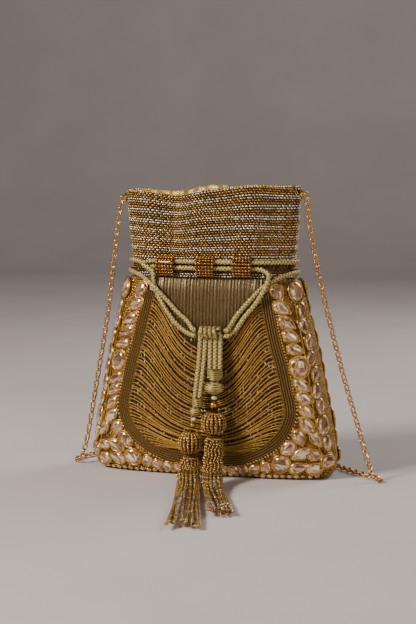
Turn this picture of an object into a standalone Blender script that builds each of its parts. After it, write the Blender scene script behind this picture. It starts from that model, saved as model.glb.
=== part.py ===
"""Potli bag: a beaded evening pouch with a drawcord neck, two bead tassels and a chain sling.

Metres, +Z up. The origin is the centre of the flat base, +X is the bag's right as seen from the front, and the
front faces -Y.
"""

import math

import bpy
import numpy as np

MM = 0.001
GAP = 0.3 * MM  # clearance between pieces that touch

# Driving sizes
BAG_HEIGHT = 218 * MM
PANEL_WALL = 2.0 * MM
FRILL_WALL = 1.6 * MM
LINING_WALL = 0.8 * MM
LINING_SLACK = 4.0 * MM  # how far inside the outer face the loose lining hangs
RIM_LEAN = -2 * MM  # the rim sits a little to the left of the base
COLUMNS = 36  # facets round the bag
SIDE_SEAM = 7  # columns from the front centre to the side seam

# height, half width, half depth and squareness of the bag's outline, in millimetres
STATIONS = (
    (0, 87.5, 22.0, 3.2),
    (4, 92.5, 25.5, 3.2),
    (11, 94.2, 27.0, 3.2),
    (30, 92.2, 28.0, 3.2),
    (60, 86.6, 28.4, 3.1),
    (92, 80.6, 28.0, 3.0),
    (120, 73.8, 26.2, 2.9),
    (142, 68.3, 23.2, 2.7),
    (150, 65.0, 21.0, 2.5),
    (157, 63.0, 19.6, 2.4),
    (170, 64.4, 19.2, 2.3),
    (190, 66.4, 17.8, 2.2),
    (222, 68.6, 14.0, 2.2),
)
# soft folds of the frill: place along the turn, depth (in is negative) and half width, in turns and millimetres
FOLDS = (
    (-0.112, -5.5, 0.030),
    (-0.175, 1.6, 0.030),
    (-0.020, 0.9, 0.045),
    (0.105, 2.6, 0.045),
    (0.190, -1.6, 0.030),
    (0.380, -3.2, 0.035),
    (0.500, 1.8, 0.050),
    (0.620, -3.6, 0.035),
)
BODY_ROWS = (0.4, 3.5, 9, 24, 48, 74, 100, 126, 141, 149.8)  # heights of the wall's rings, in millimetres
LINING_ROWS = (5.2, 24, 60, 100, 130, 149.8)
FRILL_ROWS = (150.2, 156, 165, 180, 198)  # the rim's own wave closes the frill

# Trims sewn on the panels: centre lines from the neck down to the front's middle, in millimetres
ZARI_LINE = ((45, 140), (49, 120), (53, 103), (58, 86), (62, 68), (65, 54), (64.3, 46), (60, 36), (53, 28), (43, 21.5),
             (30, 16), (15, 13.6), (0, 13))
ZARI_WIDTH = 8.5 * MM
# half width and height of the swag fringe inside that border, from the hem up
FRINGE_EDGE = ((33, 22.5), (46, 31), (56, 46), (55, 64), (49, 88), (44, 112), (41, 138))
FRINGE_WALL = 1.4 * MM
TRIM_LIFT = 1.0 * MM
TRIM_TOP = 3.2 * MM

# Drawcord, as its centre line round the neck and down to the knot
CORD_RADIUS = 1.7 * MM
NECK_RIDE = CORD_RADIUS + 0.9 * MM  # how far a cord's middle stands off the frill
KNOT_CENTRE = (6 * MM, -36.5 * MM, 110.6 * MM)
KEEPER_TURNS = (-0.112, 0.0, 0.097, 0.36, 0.64)
KEEPER_WIDTH = 13 * MM
KEEPER_HEIGHT = 14 * MM
KEEPER_MIDDLE = 158.6 * MM

# Tails and tassels, in millimetres: each tail's x under the knot and at its tassel, and the tassel's top
TAILS = ((-1.4, -4.7, 62), (2.6, -0.8, 62), (6.4, 6.8, 84), (10.3, 10.7, 84), (14.2, 14.6, 84))
TASSEL_Y = -42.2
BALL = ((0.45, -0.9), (0.8, -0.6), (1.0, 0.0), (0.8, 0.6), (0.45, 0.9))  # a bead's half outline at unit radius
LEFT_TASSEL_X = (-2.7, -4.3, -5.1, -5.6, -7.5)
RIGHT_TASSEL_X = (10.7, 10.7, 10.7, 10.7, 10.7)
# top of the wrap; the wrap's radii and length; the ball's radius and flatness; pearl and metal bead radii;
# the melon's radius and half height
LEFT_TASSEL = (62, (4.3, 3.0, 6.5), (4.4, 0.85), 2.0, 2.4, (9.8, 10.4))
RIGHT_TASSEL = (84, (6.0, 4.2, 8.4), (7.6, 0.7), 2.2, 3.1, (10.0, 10.2))
# the skirts run down to the ground and lie forward on it: x, y, z, half width, half height
LEFT_SKIRT = ((-7.5, -42.2, 18.0, 6.2, 6.0), (-7.5, -42.6, 14.6, 7.0, 5.6), (-6.6, -48.5, 8.4, 8.2, 4.9),
              (-4, -59, 5.4, 8.7, 4.5), (4, -85, 4.4, 8.8, 3.8), (13, -120, 4, 9.6, 3.6), (23, -158, 3.8, 10.8, 3.4),
              (33, -194, 3.5, 12.5, 3.1))
RIGHT_SKIRT = ((10.7, -42.2, 33.5, 6.4, 6.0), (10.8, -42.6, 30, 7.2, 6.0), (12, -47.5, 21.5, 7.6, 5.6),
               (14, -57.5, 11.8, 7.8, 5.0), (18.5, -73, 6, 7.8, 4.5), (26.5, -98, 4.2, 8, 3.8), (37, -126, 3.9, 8.6, 3.5),
               (47, -152, 3.6, 9.4, 3.2))

# Chain sling
CHAIN_RADIUS = 2.1 * MM
CHAIN_RINGS = {"left": (-71.6, -0.5, 209.5), "right": (67.8, -0.5, 212.5)}
CHAIN_ROUTE = (
    (-74.7, -0.5, 208.6), (-77.5, -1, 194), (-79.8, -1, 175), (-87, -1, 120), (-95, -0.5, 75), (-101.5, -1, 38),
    (-105, -3, 17), (-108, -5.5, 6), (-112, -5, 2.5), (-114, 4, 2.3), (-111, 17, 2.3), (-102, 31, 2.3),
    (-88, 43, 2.3), (-64, 49, 2.3), (-38, 45, 2.3), (-14, 50, 2.3), (12, 60, 2.3), (38, 60, 2.3), (64, 50, 2.3),
    (84, 36, 2.3), (100, 18, 2.3), (116, 2, 2.3), (129, -10, 2.3), (130.5, -16, 2.5), (124.5, -12, 7), (119, -6, 18),
    (113, -3, 36), (101, -2, 75), (89, -2, 120), (78, -1, 165), (73, -1, 194), (70.9, -0.5, 211.8),
)


def catmull(points, spacing):
    """A smooth line through the given points, cut into steps of about the given length."""
    points = np.array(points, float)
    ends = np.vstack([2 * points[0] - points[1], points, 2 * points[-1] - points[-2]])
    fine = []
    for before, start, end, after in zip(ends, ends[1:], ends[2:], ends[3:]):
        for t in np.linspace(0, 1, 24, endpoint=False):
            fine.append(0.5 * (2 * start + (end - before) * t + (2 * before - 5 * start + 4 * end - after) * t**2
                               + (3 * start - before - 3 * end + after) * t**3))
    fine.append(points[-1])
    fine = np.array(fine)
    run = np.concatenate([[0], np.cumsum(np.linalg.norm(np.diff(fine, axis=0), axis=1))])
    marks = np.linspace(0, run[-1], max(2, round(run[-1] / spacing)) + 1)
    return np.stack([np.interp(marks, run, fine[:, axis]) for axis in range(3)], axis=1)


def outline(height):
    """Half width, half depth and squareness at a height, smooth between the stations."""
    table = np.array(STATIONS)
    z = height / MM
    k = int(np.clip(np.searchsorted(table[:, 0], z) - 1, 0, len(table) - 2))
    low, high = table[k], table[k + 1]
    before, after = table[max(k - 1, 0)], table[min(k + 2, len(table) - 1)]
    span = high[0] - low[0]
    t = (z - low[0]) / span
    rise_low = (high - before) / max(high[0] - before[0], 1e-9) * span
    rise_high = (after - low) / max(after[0] - low[0], 1e-9) * span
    value = ((2 * t**3 - 3 * t**2 + 1) * low + (t**3 - 2 * t**2 + t) * rise_low
             + (-2 * t**3 + 3 * t**2) * high + (t**3 - t**2) * rise_high)
    return value[1] * MM, value[2] * MM, value[3]


def fold(turn, height):
    """How far the frill stands out of (or in from) its plain outline."""
    rise = min(max((height - 152 * MM) / (24 * MM), 0), 1)
    total = sum(depth * math.exp(-(((turn - place + 0.5) % 1 - 0.5) / width) ** 2) for place, depth, width in FOLDS)
    return total * MM * rise * rise * (3 - 2 * rise)


def skin(turn, height, offset=0.0):
    """A point on the bag's outer face: turn runs once round from the front centre towards +X."""
    half_width, half_depth, square = outline(height)
    offset = offset + fold(turn, height)
    angle = np.linspace(-math.pi / 2, 1.5 * math.pi, 361)
    x = (half_width + offset) * np.sign(np.cos(angle)) * np.abs(np.cos(angle)) ** (2 / square)
    y = (half_depth + offset) * np.sign(np.sin(angle)) * np.abs(np.sin(angle)) ** (2 / square)
    run = np.concatenate([[0], np.cumsum(np.hypot(np.diff(x), np.diff(y)))])
    place = (turn % 1) * run[-1]
    lean = RIM_LEAN * height / BAG_HEIGHT
    return np.array([np.interp(place, run, x) + lean, np.interp(place, run, y), height])


def on_front(x, height, offset, side=-1):
    """A point on the front (side -1) or back (side 1) face above the given x."""
    half_width, half_depth, square = outline(height)
    across = min(abs(x) / (half_width + offset), 0.999)
    return np.array([x, side * (half_depth + offset) * (1 - across**square) ** (1 / square), height])


def rim_height(turn):
    """The rim dips at the front fold, swells beside it and stands a little higher at the back."""
    x = skin(turn, 200 * MM)[0] / MM
    back = 0.5 - 0.5 * math.cos(2 * math.pi * turn)
    front = 1 - back
    wave = front * (-4.2 * math.exp(-((x + 28) / 17) ** 2) + 3.0 * math.exp(-((x - 36) / 22) ** 2))
    wave += back * (1.4 * math.cos(x / 11) + 0.6)
    return (215.6 + 0.022 * x + wave) * MM


def material(name, colour, roughness, metallic=0.0):
    shade = bpy.data.materials.new(name)
    shade.use_nodes = True
    shader = shade.node_tree.nodes["Principled BSDF"]
    shader.inputs["Base Color"].default_value = (*colour, 1)
    shader.inputs["Roughness"].default_value = roughness
    shader.inputs["Metallic"].default_value = metallic
    return shade


def piece(name, points, faces, shade, smooth=False):
    """A closed solid from points and faces, in the bag's own frame."""
    mesh = bpy.data.meshes.new(name)
    mesh.from_pydata([tuple(map(float, p)) for p in points], [], faces)
    mesh.materials.append(shade)
    if smooth:
        mesh.shade_smooth()
    obj = bpy.data.objects.new(name, mesh)
    bpy.context.scene.collection.objects.link(obj)
    return obj


def slab(name, inner, outer, shade):
    """A curved plate: two grids of points, inner and outer, of the same size, closed round their four edges."""
    rows, columns = len(inner), len(inner[0])
    points = [p for row in inner for p in row] + [p for row in outer for p in row]
    shift = rows * columns
    faces = []
    for r in range(rows - 1):
        for c in range(columns - 1):
            a, b = r * columns + c, r * columns + c + 1
            d, e = a + columns, b + columns
            faces.append((a, d, e, b))
            faces.append((a + shift, b + shift, e + shift, d + shift))
    border = [(0, c) for c in range(columns - 1)] + [(r, columns - 1) for r in range(rows - 1)]
    border += [(rows - 1, c) for c in range(columns - 1, 0, -1)] + [(r, 0) for r in range(rows - 1, 0, -1)]
    loop = [r * columns + c for r, c in border]
    for a, b in zip(loop, loop[1:] + loop[:1]):
        faces.append((a, b, b + shift, a + shift))
    return piece(name, points, faces, shade)


def tube_wall(name, inner, outer, shade, floor=False):
    """A wall all the way round from rings of points, open at the top; floor closes the bottom of both skins."""
    rows, columns = len(inner), len(inner[0])
    points = [p for row in inner for p in row] + [p for row in outer for p in row]
    shift = rows * columns
    faces = []
    for r in range(rows - 1):
        for c in range(columns):
            a, b = r * columns + c, r * columns + (c + 1) % columns
            d, e = a + columns, b + columns
            faces.append((a, d, e, b))
            faces.append((a + shift, b + shift, e + shift, d + shift))
    top = (rows - 1) * columns
    for c in range(columns):
        a, b = top + c, top + (c + 1) % columns
        faces.append((a, a + shift, b + shift, b))
        if not floor:
            a, b = c, (c + 1) % columns
            faces.append((a, b, b + shift, a + shift))
    if floor:
        faces.append(tuple(range(columns)))
        faces.append(tuple(range(shift + columns - 1, shift - 1, -1)))
    return piece(name, points, faces, shade)


def plate(name, low, high, half_width, half_depth, shade):
    """A flat rounded plate, such as the base or its stiffening board."""
    rings = []
    for height in (low, high):
        for k in range(COLUMNS):
            angle = 2 * math.pi * k / COLUMNS
            x = half_width * math.copysign(abs(math.cos(angle)) ** (2 / 3.2), math.cos(angle))
            y = half_depth * math.copysign(abs(math.sin(angle)) ** (2 / 3.2), math.sin(angle))
            rings.append((x, y, height))
    faces = [tuple(range(COLUMNS - 1, -1, -1)), tuple(range(COLUMNS, 2 * COLUMNS))]
    for k in range(COLUMNS):
        n = (k + 1) % COLUMNS
        faces.append((k, n, n + COLUMNS, k + COLUMNS))
    return piece(name, rings, faces, shade)


def wall_panel(name, first, last, shade):
    """One cloth panel of the body between two seams, counted in columns from the front centre."""
    seam = 0.0008
    turns = [c / COLUMNS for c in range(first, last + 1)]
    turns[0] += seam
    turns[-1] -= seam
    inner = [[skin(t, z * MM, -PANEL_WALL) for t in turns] for z in BODY_ROWS]
    outer = [[skin(t, z * MM) for t in turns] for z in BODY_ROWS]
    return slab(name, inner, outer, shade)


def frill(shade):
    """The beaded neck band: one soft wall all round, from the drawcord line up to its wavy rim."""
    turns = [c / COLUMNS for c in range(COLUMNS)]

    def ring(offset, row):
        return [skin(t, FRILL_ROWS[row] * MM if row < len(FRILL_ROWS) else rim_height(t), offset) for t in turns]

    rows = range(len(FRILL_ROWS) + 1)
    return tube_wall("neck_band", [ring(-FRILL_WALL, r) for r in rows], [ring(0, r) for r in rows], shade)


def lining(shade):
    """The satin pouch hanging inside, sewn to the rim."""
    turns = [c / COLUMNS for c in range(COLUMNS)]
    outside = []
    inside = []
    for z in LINING_ROWS:
        outside.append([skin(t, z * MM, -LINING_SLACK) for t in turns])
        inside.append([skin(t, z * MM, -LINING_SLACK - LINING_WALL) for t in turns])
    reach = FRILL_WALL + 2 * GAP
    for z in FRILL_ROWS[2:]:
        outside.append([skin(t, z * MM, -reach) for t in turns])
        inside.append([skin(t, z * MM, -reach - LINING_WALL) for t in turns])
    outside.append([skin(t, rim_height(t) - 0.6 * MM, -reach) for t in turns])
    inside.append([skin(t, rim_height(t) - 0.6 * MM, -reach - LINING_WALL) for t in turns])
    for k, point in enumerate(inside[0]):
        inside[0][k] = np.array([point[0], point[1], point[2] + LINING_WALL])
    return tube_wall("lining", inside, outside, shade, floor=True)


def ribbon(name, path, width, shade, side=-1, low=TRIM_LIFT, high=TRIM_TOP):
    """A flat trim that follows a line of (x, height) points on the front or back face."""
    path = np.array(path, float)
    across = np.gradient(path, axis=0)
    across /= np.linalg.norm(across, axis=1)[:, None]
    across = np.stack([-across[:, 1], across[:, 0]], axis=1)
    points = []
    for (x, z), (nx, nz), w in zip(path, across, width):
        for reach, offset in ((-w, low), (w, low), (w, high), (-w, high)):
            points.append(on_front(x + nx * reach / 2, z + nz * reach / 2, offset, side))
    faces = [(3, 2, 1, 0)]
    for k in range(len(path) - 1):
        a = 4 * k
        for i in range(4):
            j = (i + 1) % 4
            faces.append((a + i, a + j, a + j + 4, a + i + 4))
    last = 4 * (len(path) - 1)
    faces.append((last, last + 1, last + 2, last + 3))
    if side > 0:
        faces = [f[::-1] for f in faces]
    return piece(name, points, faces, shade)


def horseshoe(line):
    """Both halves of a line given from the neck down to the middle, as one run from left to right."""
    line = [(x * MM, z * MM) for x, z in line]
    return [(-x, z) for x, z in line] + [(x, z) for x, z in line[-2::-1]]


def stone_line():
    """The middle of the stone border: down the side beside the zari cords, then along the hem."""
    line = [(53.8, 139), (58.5, 120), (63.3, 100), (68.3, 80), (72.5, 62), (74.6, 48), (73.5, 33), (65, 20), (52, 11.5),
            (38, 8), (20, 6.3), (0, 6)]
    width = [6, 7.6, 7.8, 8.0, 8.0, 9.4, 13.2, 15.6, 12, 7, 5, 4.4]
    return horseshoe(line), np.array(width + width[-2::-1]) * MM


def fringe(shade):
    """The sheet of swagged gold strands inside the zari border."""
    inner, outer = [], []
    for half, height in FRINGE_EDGE:
        across = [half * MM * k / 4 for k in range(-4, 5)]
        inner.append([on_front(x, height * MM, TRIM_LIFT) for x in across])
        outer.append([on_front(x, height * MM, TRIM_LIFT + FRINGE_WALL) for x in across])
    return slab("swag_fringe", inner, outer, shade)


def keeper(name, turn, shade):
    """A beaded loop on the frill that holds the drawcord: a low arch with its feet on the band."""
    foot = 1.4 * MM
    profile = ((-KEEPER_HEIGHT / 2, 0), (-KEEPER_HEIGHT / 2, 4.6 * MM), (-KEEPER_HEIGHT / 4, 6.2 * MM),
               (KEEPER_HEIGHT / 4, 6.2 * MM), (KEEPER_HEIGHT / 2, 4.6 * MM), (KEEPER_HEIGHT / 2, 0),
               (KEEPER_HEIGHT / 2 - foot, 0), (KEEPER_HEIGHT / 2 - foot, 4.2 * MM), (-KEEPER_HEIGHT / 2 + foot, 4.2 * MM),
               (-KEEPER_HEIGHT / 2 + foot, 0))
    centre = skin(turn, KEEPER_MIDDLE)
    ahead = skin(turn + 0.005, KEEPER_MIDDLE) - skin(turn - 0.005, KEEPER_MIDDLE)
    along = ahead / np.linalg.norm(ahead)
    outward = np.array([along[1], -along[0], 0])
    reach = KEEPER_WIDTH / 2 / np.linalg.norm(skin(turn + 0.01, KEEPER_MIDDLE) - centre) * 0.01
    under = [skin(turn + d * reach, KEEPER_MIDDLE + k * KEEPER_HEIGHT / 2) for d in (-1, 0, 1) for k in (-1, 0, 1)]
    start = max(float(np.dot(point - centre, outward)) for point in under) + 0.5 * MM
    points = []
    for reach in (-KEEPER_WIDTH / 2, KEEPER_WIDTH / 2):
        for z, out in profile:
            points.append(centre + along * reach + outward * (out + start) + np.array([0, 0, z]))
    n = len(profile)
    faces = [tuple(range(n)), tuple(range(2 * n - 1, n - 1, -1))]
    for k in range(n):
        j = (k + 1) % n
        faces.append((k, k + n, j + n, j))
    return piece(name, points, faces, shade)


def cord(name, route, radius, shade, spacing):
    """A round cord on a smooth line through its route's points, with filled ends."""
    curve = bpy.data.curves.new(name, "CURVE")
    curve.dimensions = "3D"
    curve.bevel_depth = radius
    curve.bevel_resolution = 2
    curve.use_fill_caps = True
    curve.resolution_u = 1
    line = catmull(route, spacing)
    spline = curve.splines.new("POLY")
    spline.points.add(len(line) - 1)
    for point, place in zip(spline.points, line):
        point.co = (*place, 1)
    curve.materials.append(shade)
    obj = bpy.data.objects.new(name, curve)
    bpy.context.scene.collection.objects.link(obj)
    return obj


def turned(name, centre, profile, shade, sides=12, tilt=(0, 0, 1), flat=1.0):
    """A turned piece from a profile of (radius, distance along its axis), closed by a flat face at each end."""
    axis = np.array(tilt, float) / np.linalg.norm(tilt)
    side = np.cross(axis, [0, -1, 0])
    side /= np.linalg.norm(side)
    front = np.cross(axis, side)
    points = []
    for radius, along in profile:
        for k in range(sides):
            angle = 2 * math.pi * k / sides
            points.append(np.array(centre) + axis * along
                          + (side * math.cos(angle) + front * flat * math.sin(angle)) * radius)
    faces = [tuple(range(sides - 1, -1, -1)), tuple(range((len(profile) - 1) * sides, len(profile) * sides))]
    for r in range(len(profile) - 1):
        for k in range(sides):
            j = (k + 1) % sides
            faces.append((r * sides + k, r * sides + j, (r + 1) * sides + j, (r + 1) * sides + k))
    return piece(name, points, faces, shade, smooth=True)


def loft(name, stations, shade, sides=12):
    """A flattened bundle of strands: (x, y, z, half width, half height) at each station along it, level across."""
    stations = np.array(stations, float) * MM
    points = []
    for k, (x, y, z, wide, high) in enumerate(stations):
        before, after = stations[max(k - 1, 0)], stations[min(k + 1, len(stations) - 1)]
        run = after[:3] - before[:3]
        run /= np.linalg.norm(run)
        side = np.cross(run, [0, 0, 1])
        if np.linalg.norm(side) < 0.2:
            side = np.array([-1.0, 0, 0])
        side /= np.linalg.norm(side)
        up = np.cross(run, side)
        for i in range(sides):
            angle = 2 * math.pi * i / sides
            points.append(np.array([x, y, z]) + side * math.cos(angle) * wide + up * math.sin(angle) * high)
    n = len(stations)
    faces = [tuple(range(sides - 1, -1, -1)), tuple(range((n - 1) * sides, n * sides))]
    for r in range(n - 1):
        for k in range(sides):
            j = (k + 1) % sides
            faces.append((r * sides + k, r * sides + j, (r + 1) * sides + j, (r + 1) * sides + k))
    return piece(name, points, faces, shade, smooth=True)


def hanging(points):
    """Route points lying against the front, given as x, height and distance from the cloth in millimetres."""
    return [on_front(x * MM, z * MM, out * MM) for x, z, out in points]


def at_knot(x, z):
    return [np.array([x * MM, KNOT_CENTRE[1], z * MM])]


def round_neck(turn, height, extra=0.0):
    """A point of a cord that lies round the neck, pulled straight over the frill's folds."""
    height *= MM
    return skin(turn, height, NECK_RIDE + extra - min(fold(turn, height), 0))


def neck_run(first, last, heights, extra=0.0, steps=14):
    """Points of a cord lying round the neck between two places on the turn, bulging by extra at its middle."""
    points = []
    for k in range(steps + 1):
        share = k / steps
        height = heights[0] + (heights[1] - heights[0]) * share * share * (3 - 2 * share)
        bulge = extra * math.exp(-(((share - 0.5) / 0.16) ** 2))
        points.append(round_neck(first + (last - first) * share, height, bulge))
    return points


def left_drawcord():
    """From the knot up the outer strand, round the back and through the front loops, and down the inner strand."""
    route = at_knot(-4.8, 112.8) + at_knot(-7.4, 112.8)
    route += hanging(((-12.5, 118, 5.6), (-21, 125, 5.4), (-30, 134.2, 6.6), (-38, 142.2, 9.2), (-45, 146.8, 8.4),
                      (-53, 150.6, 4.4)))
    route += neck_run(-0.225, -0.775, (154, 162.2), extra=4.2 * MM)
    route += neck_run(-0.83, -1.134, (162.2, 162.2), steps=7)
    route += [round_neck(-0.152, 160.2, 5.0 * MM)]
    route += hanging(((-43.0, 154.5, 7.2), (-41.8, 147, 5.3), (-37.2, 137, 5.2), (-31, 127.3, 5.2), (-22.5, 117, 5.3),
                      (-14, 110.4, 5.6)))
    return route + at_knot(-7.4, 108.4) + at_knot(-4.8, 108.4)


def right_drawcord():
    """The mirror of the left one, passing under it at the back and below it through the front loops."""
    route = at_knot(17.0, 112.8) + at_knot(19.4, 112.8)
    route += hanging(((22.5, 119, 5.6), (27, 125.8, 5.4), (36, 136.2, 5.4), (45, 145.6, 5.2), (54, 150.6, 4.4)))
    route += neck_run(0.225, 0.775, (154, 162.2))
    route += [round_neck(0.800, 162.2), round_neck(0.828, 160.6), round_neck(0.855, 158.2)]
    route += neck_run(0.88, 1.122, (157.4, 157.4), steps=7)
    route += [round_neck(0.140, 156.6, 2.4 * MM)]
    route += hanging(((47.6, 153, 7.6), (47.4, 147.5, 9.2), (44, 140, 8.0), (38.5, 131.5, 5.6), (31, 122.2, 5.4),
                      (25, 113.2, 5.4)))
    return route + at_knot(19.4, 108.4) + at_knot(17.0, 108.4)


def ring(name, centre, shade, around=3.0 * MM, thick=0.75 * MM, sides=14, small=6):
    """A round wire ring whose axis runs across the bag."""
    points = []
    for k in range(sides):
        a = 2 * math.pi * k / sides
        for i in range(small):
            b = 2 * math.pi * i / small
            reach = around + thick * math.cos(b)
            points.append(np.array(centre) + np.array([thick * math.sin(b), reach * math.cos(a), reach * math.sin(a)]))
    faces = []
    for k in range(sides):
        for i in range(small):
            a, b = k * small + i, k * small + (i + 1) % small
            d, e = ((k + 1) % sides) * small + i, ((k + 1) % sides) * small + (i + 1) % small
            faces.append((a, d, e, b))
    return piece(name, points, faces, shade, smooth=True)


def tassel(side, x, wrap_top, wrap, ball, small_bead, metal_bead, melon, skirt, shades):
    """One tassel on its tail cords: thread wrap, thread ball, beads, melon head and skirt, from the top down."""
    y = TASSEL_Y
    z = wrap_top
    turned(f"tassel_wrap_{side}", (x[0] * MM, (y + 3) * MM, z * MM),
           [(wrap[0] * MM, 0), (wrap[0] * MM, -2.4 * MM), (wrap[1] * MM, -wrap[2] * MM)][::-1], shades["thread"])
    z -= wrap[2] + 0.3 + ball[0] * ball[1]
    turned(f"tassel_ball_{side}", (x[1] * MM, (y + 2) * MM, z * MM),
           [(r * MM * ball[0], a * MM * ball[0] * ball[1]) for r, a in BALL], shades["thread"])
    z -= ball[0] * ball[1] + 0.3 + small_bead * 0.8
    turned(f"tassel_pearl_{side}", (x[2] * MM, (y + 1) * MM, z * MM),
           [(r * MM * small_bead, a * MM * small_bead * 0.8) for r, a in BALL], shades["pearl"], sides=10)
    z -= small_bead * 0.8 + 0.3 + metal_bead
    turned(f"tassel_bead_{side}", (x[3] * MM, y * MM, z * MM),
           [(r * MM * metal_bead, a * MM * metal_bead) for r, a in BALL], shades["brass"], sides=10)
    z -= metal_bead + 0.3 + melon[1]
    turned(f"tassel_head_{side}", (x[4] * MM, y * MM, z * MM),
           [(r * MM * melon[0], a * MM * melon[1]) for r, a in BALL], shades["bead"], sides=14)
    loft(f"tassel_skirt_{side}", skirt, shades["bead"])


for old in list(bpy.data.objects):
    bpy.data.objects.remove(old, do_unlink=True)

BEADED = material("gold beadwork", (0.55, 0.38, 0.16), 0.35, 0.5)
TISSUE = material("gold tissue", (0.58, 0.50, 0.36), 0.55, 0.3)
SATIN = material("pale gold satin", (0.86, 0.76, 0.46), 0.45)
BOARD = material("grey board", (0.45, 0.42, 0.38), 0.85)
CORDING = material("khaki gold cord", (0.60, 0.54, 0.30), 0.55, 0.3)
CRYSTAL = material("peach crystal", (0.80, 0.60, 0.45), 0.15)
BRONZE = material("bronze zari", (0.32, 0.23, 0.10), 0.45, 0.5)
CHAIN_METAL = material("rose gold chain", (0.78, 0.50, 0.26), 0.25, 1.0)
PEARL = material("pale pearl", (0.80, 0.74, 0.60), 0.30)
BRASS = material("bright gold", (0.85, 0.65, 0.25), 0.20, 1.0)
SHADES = {"thread": CORDING, "pearl": PEARL, "brass": BRASS, "bead": BEADED}

wall_panel("front_panel", -SIDE_SEAM, SIDE_SEAM, TISSUE)
wall_panel("right_gusset", SIDE_SEAM, COLUMNS // 2 - SIDE_SEAM, TISSUE)
wall_panel("back_panel", COLUMNS // 2 - SIDE_SEAM, COLUMNS // 2 + SIDE_SEAM, TISSUE)
wall_panel("left_gusset", COLUMNS // 2 + SIDE_SEAM, COLUMNS - SIDE_SEAM, TISSUE)
plate("base_panel", 0, 1.8 * MM, 84.6 * MM, 19.4 * MM, TISSUE)
plate("base_board", 2.1 * MM, 4.1 * MM, 83.6 * MM, 19.0 * MM, BOARD)
frill(BEADED)
lining(SATIN)

ribbon("zari_border", horseshoe(ZARI_LINE), [ZARI_WIDTH] * (2 * len(ZARI_LINE) - 1), BRONZE)
BORDER, BORDER_WIDTH = stone_line()
ribbon("stone_border_front", BORDER, BORDER_WIDTH, CRYSTAL)
ribbon("stone_border_back", BORDER, BORDER_WIDTH, CRYSTAL, side=1)
fringe(TISSUE)

for NUMBER, TURN in enumerate(KEEPER_TURNS, 1):
    keeper(f"cord_loop_{NUMBER}", TURN, BEADED)

cord("drawcord_left", left_drawcord(), CORD_RADIUS, CORDING, 8 * MM)
cord("drawcord_right", right_drawcord(), CORD_RADIUS, CORDING, 8 * MM)
turned("drawcord_knot", KNOT_CENTRE,
       [(3.9 * MM, -9.6 * MM), (5.2 * MM, -6 * MM), (5.2 * MM, 6 * MM), (3.9 * MM, 9.6 * MM)], CORDING,
       sides=12, tilt=(1, 0, 0), flat=0.95)
for NUMBER, (TOP, END, LOW) in enumerate(TAILS, 1):
    cord(f"tail_cord_{NUMBER}",
         [(TOP * MM, KNOT_CENTRE[1], 105 * MM),
          ((0.7 * TOP + 0.3 * END) * MM, KNOT_CENTRE[1] - 0.6 * MM, (105 - 0.4 * (105 - LOW)) * MM),
          (END * MM, (TASSEL_Y + 3) * MM, (LOW + 0.6) * MM)], CORD_RADIUS, CORDING, 9 * MM)
tassel("left", LEFT_TASSEL_X, *LEFT_TASSEL, LEFT_SKIRT, SHADES)
tassel("right", RIGHT_TASSEL_X, *RIGHT_TASSEL, RIGHT_SKIRT, SHADES)

for SIDE, CENTRE in CHAIN_RINGS.items():
    ring(f"chain_ring_{SIDE}", np.array(CENTRE) * MM, BRASS)
cord("sling_chain", np.array(CHAIN_ROUTE) * MM, CHAIN_RADIUS, CHAIN_METAL, 12.5 * MM)
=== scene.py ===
"""Potli bag: the beaded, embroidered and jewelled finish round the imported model."""

import math

import bpy
import numpy as np
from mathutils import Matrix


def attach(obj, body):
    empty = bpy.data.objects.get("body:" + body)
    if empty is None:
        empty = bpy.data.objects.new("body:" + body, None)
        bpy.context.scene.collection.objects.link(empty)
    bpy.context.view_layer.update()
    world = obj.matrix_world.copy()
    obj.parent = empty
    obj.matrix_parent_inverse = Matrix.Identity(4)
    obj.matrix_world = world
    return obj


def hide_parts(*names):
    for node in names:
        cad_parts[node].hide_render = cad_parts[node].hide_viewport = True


bl_info = {
    "name": "Potli bag",
    "version": (1, 0, 0),
    "blender": (4, 5, 0),
    "location": "View3D > Sidebar > Potli",
    "description": "Models the beads, crystals, cords, tassels and chain of a potli bag",
    "category": "Add Mesh",
}

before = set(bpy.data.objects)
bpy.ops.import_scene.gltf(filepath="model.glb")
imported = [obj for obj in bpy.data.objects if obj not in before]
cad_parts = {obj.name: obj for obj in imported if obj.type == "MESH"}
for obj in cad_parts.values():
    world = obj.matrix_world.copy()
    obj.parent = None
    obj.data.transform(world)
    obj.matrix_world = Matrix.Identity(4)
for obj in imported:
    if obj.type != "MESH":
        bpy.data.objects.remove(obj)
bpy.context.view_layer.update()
MM = 0.001
ROOT = "root"
TURN = 2 * math.pi
UP, FORWARD = (0.0, 0.0, 1.0), (0.0, -1.0, 0.0)

# height, half width, half depth and squareness of the bag's outline, in millimetres
STATIONS = np.array((
    (0, 87.5, 22.0, 3.2), (4, 92.5, 25.5, 3.2), (11, 94.2, 27.0, 3.2), (30, 92.2, 28.0, 3.2), (60, 86.6, 28.4, 3.1),
    (92, 80.6, 28.0, 3.0), (120, 73.8, 26.2, 2.9), (142, 68.3, 23.2, 2.7), (150, 65.0, 21.0, 2.5),
    (157, 63.0, 19.6, 2.4), (170, 64.4, 19.2, 2.3), (190, 66.4, 17.8, 2.2), (222, 68.6, 14.0, 2.2),
))
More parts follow.
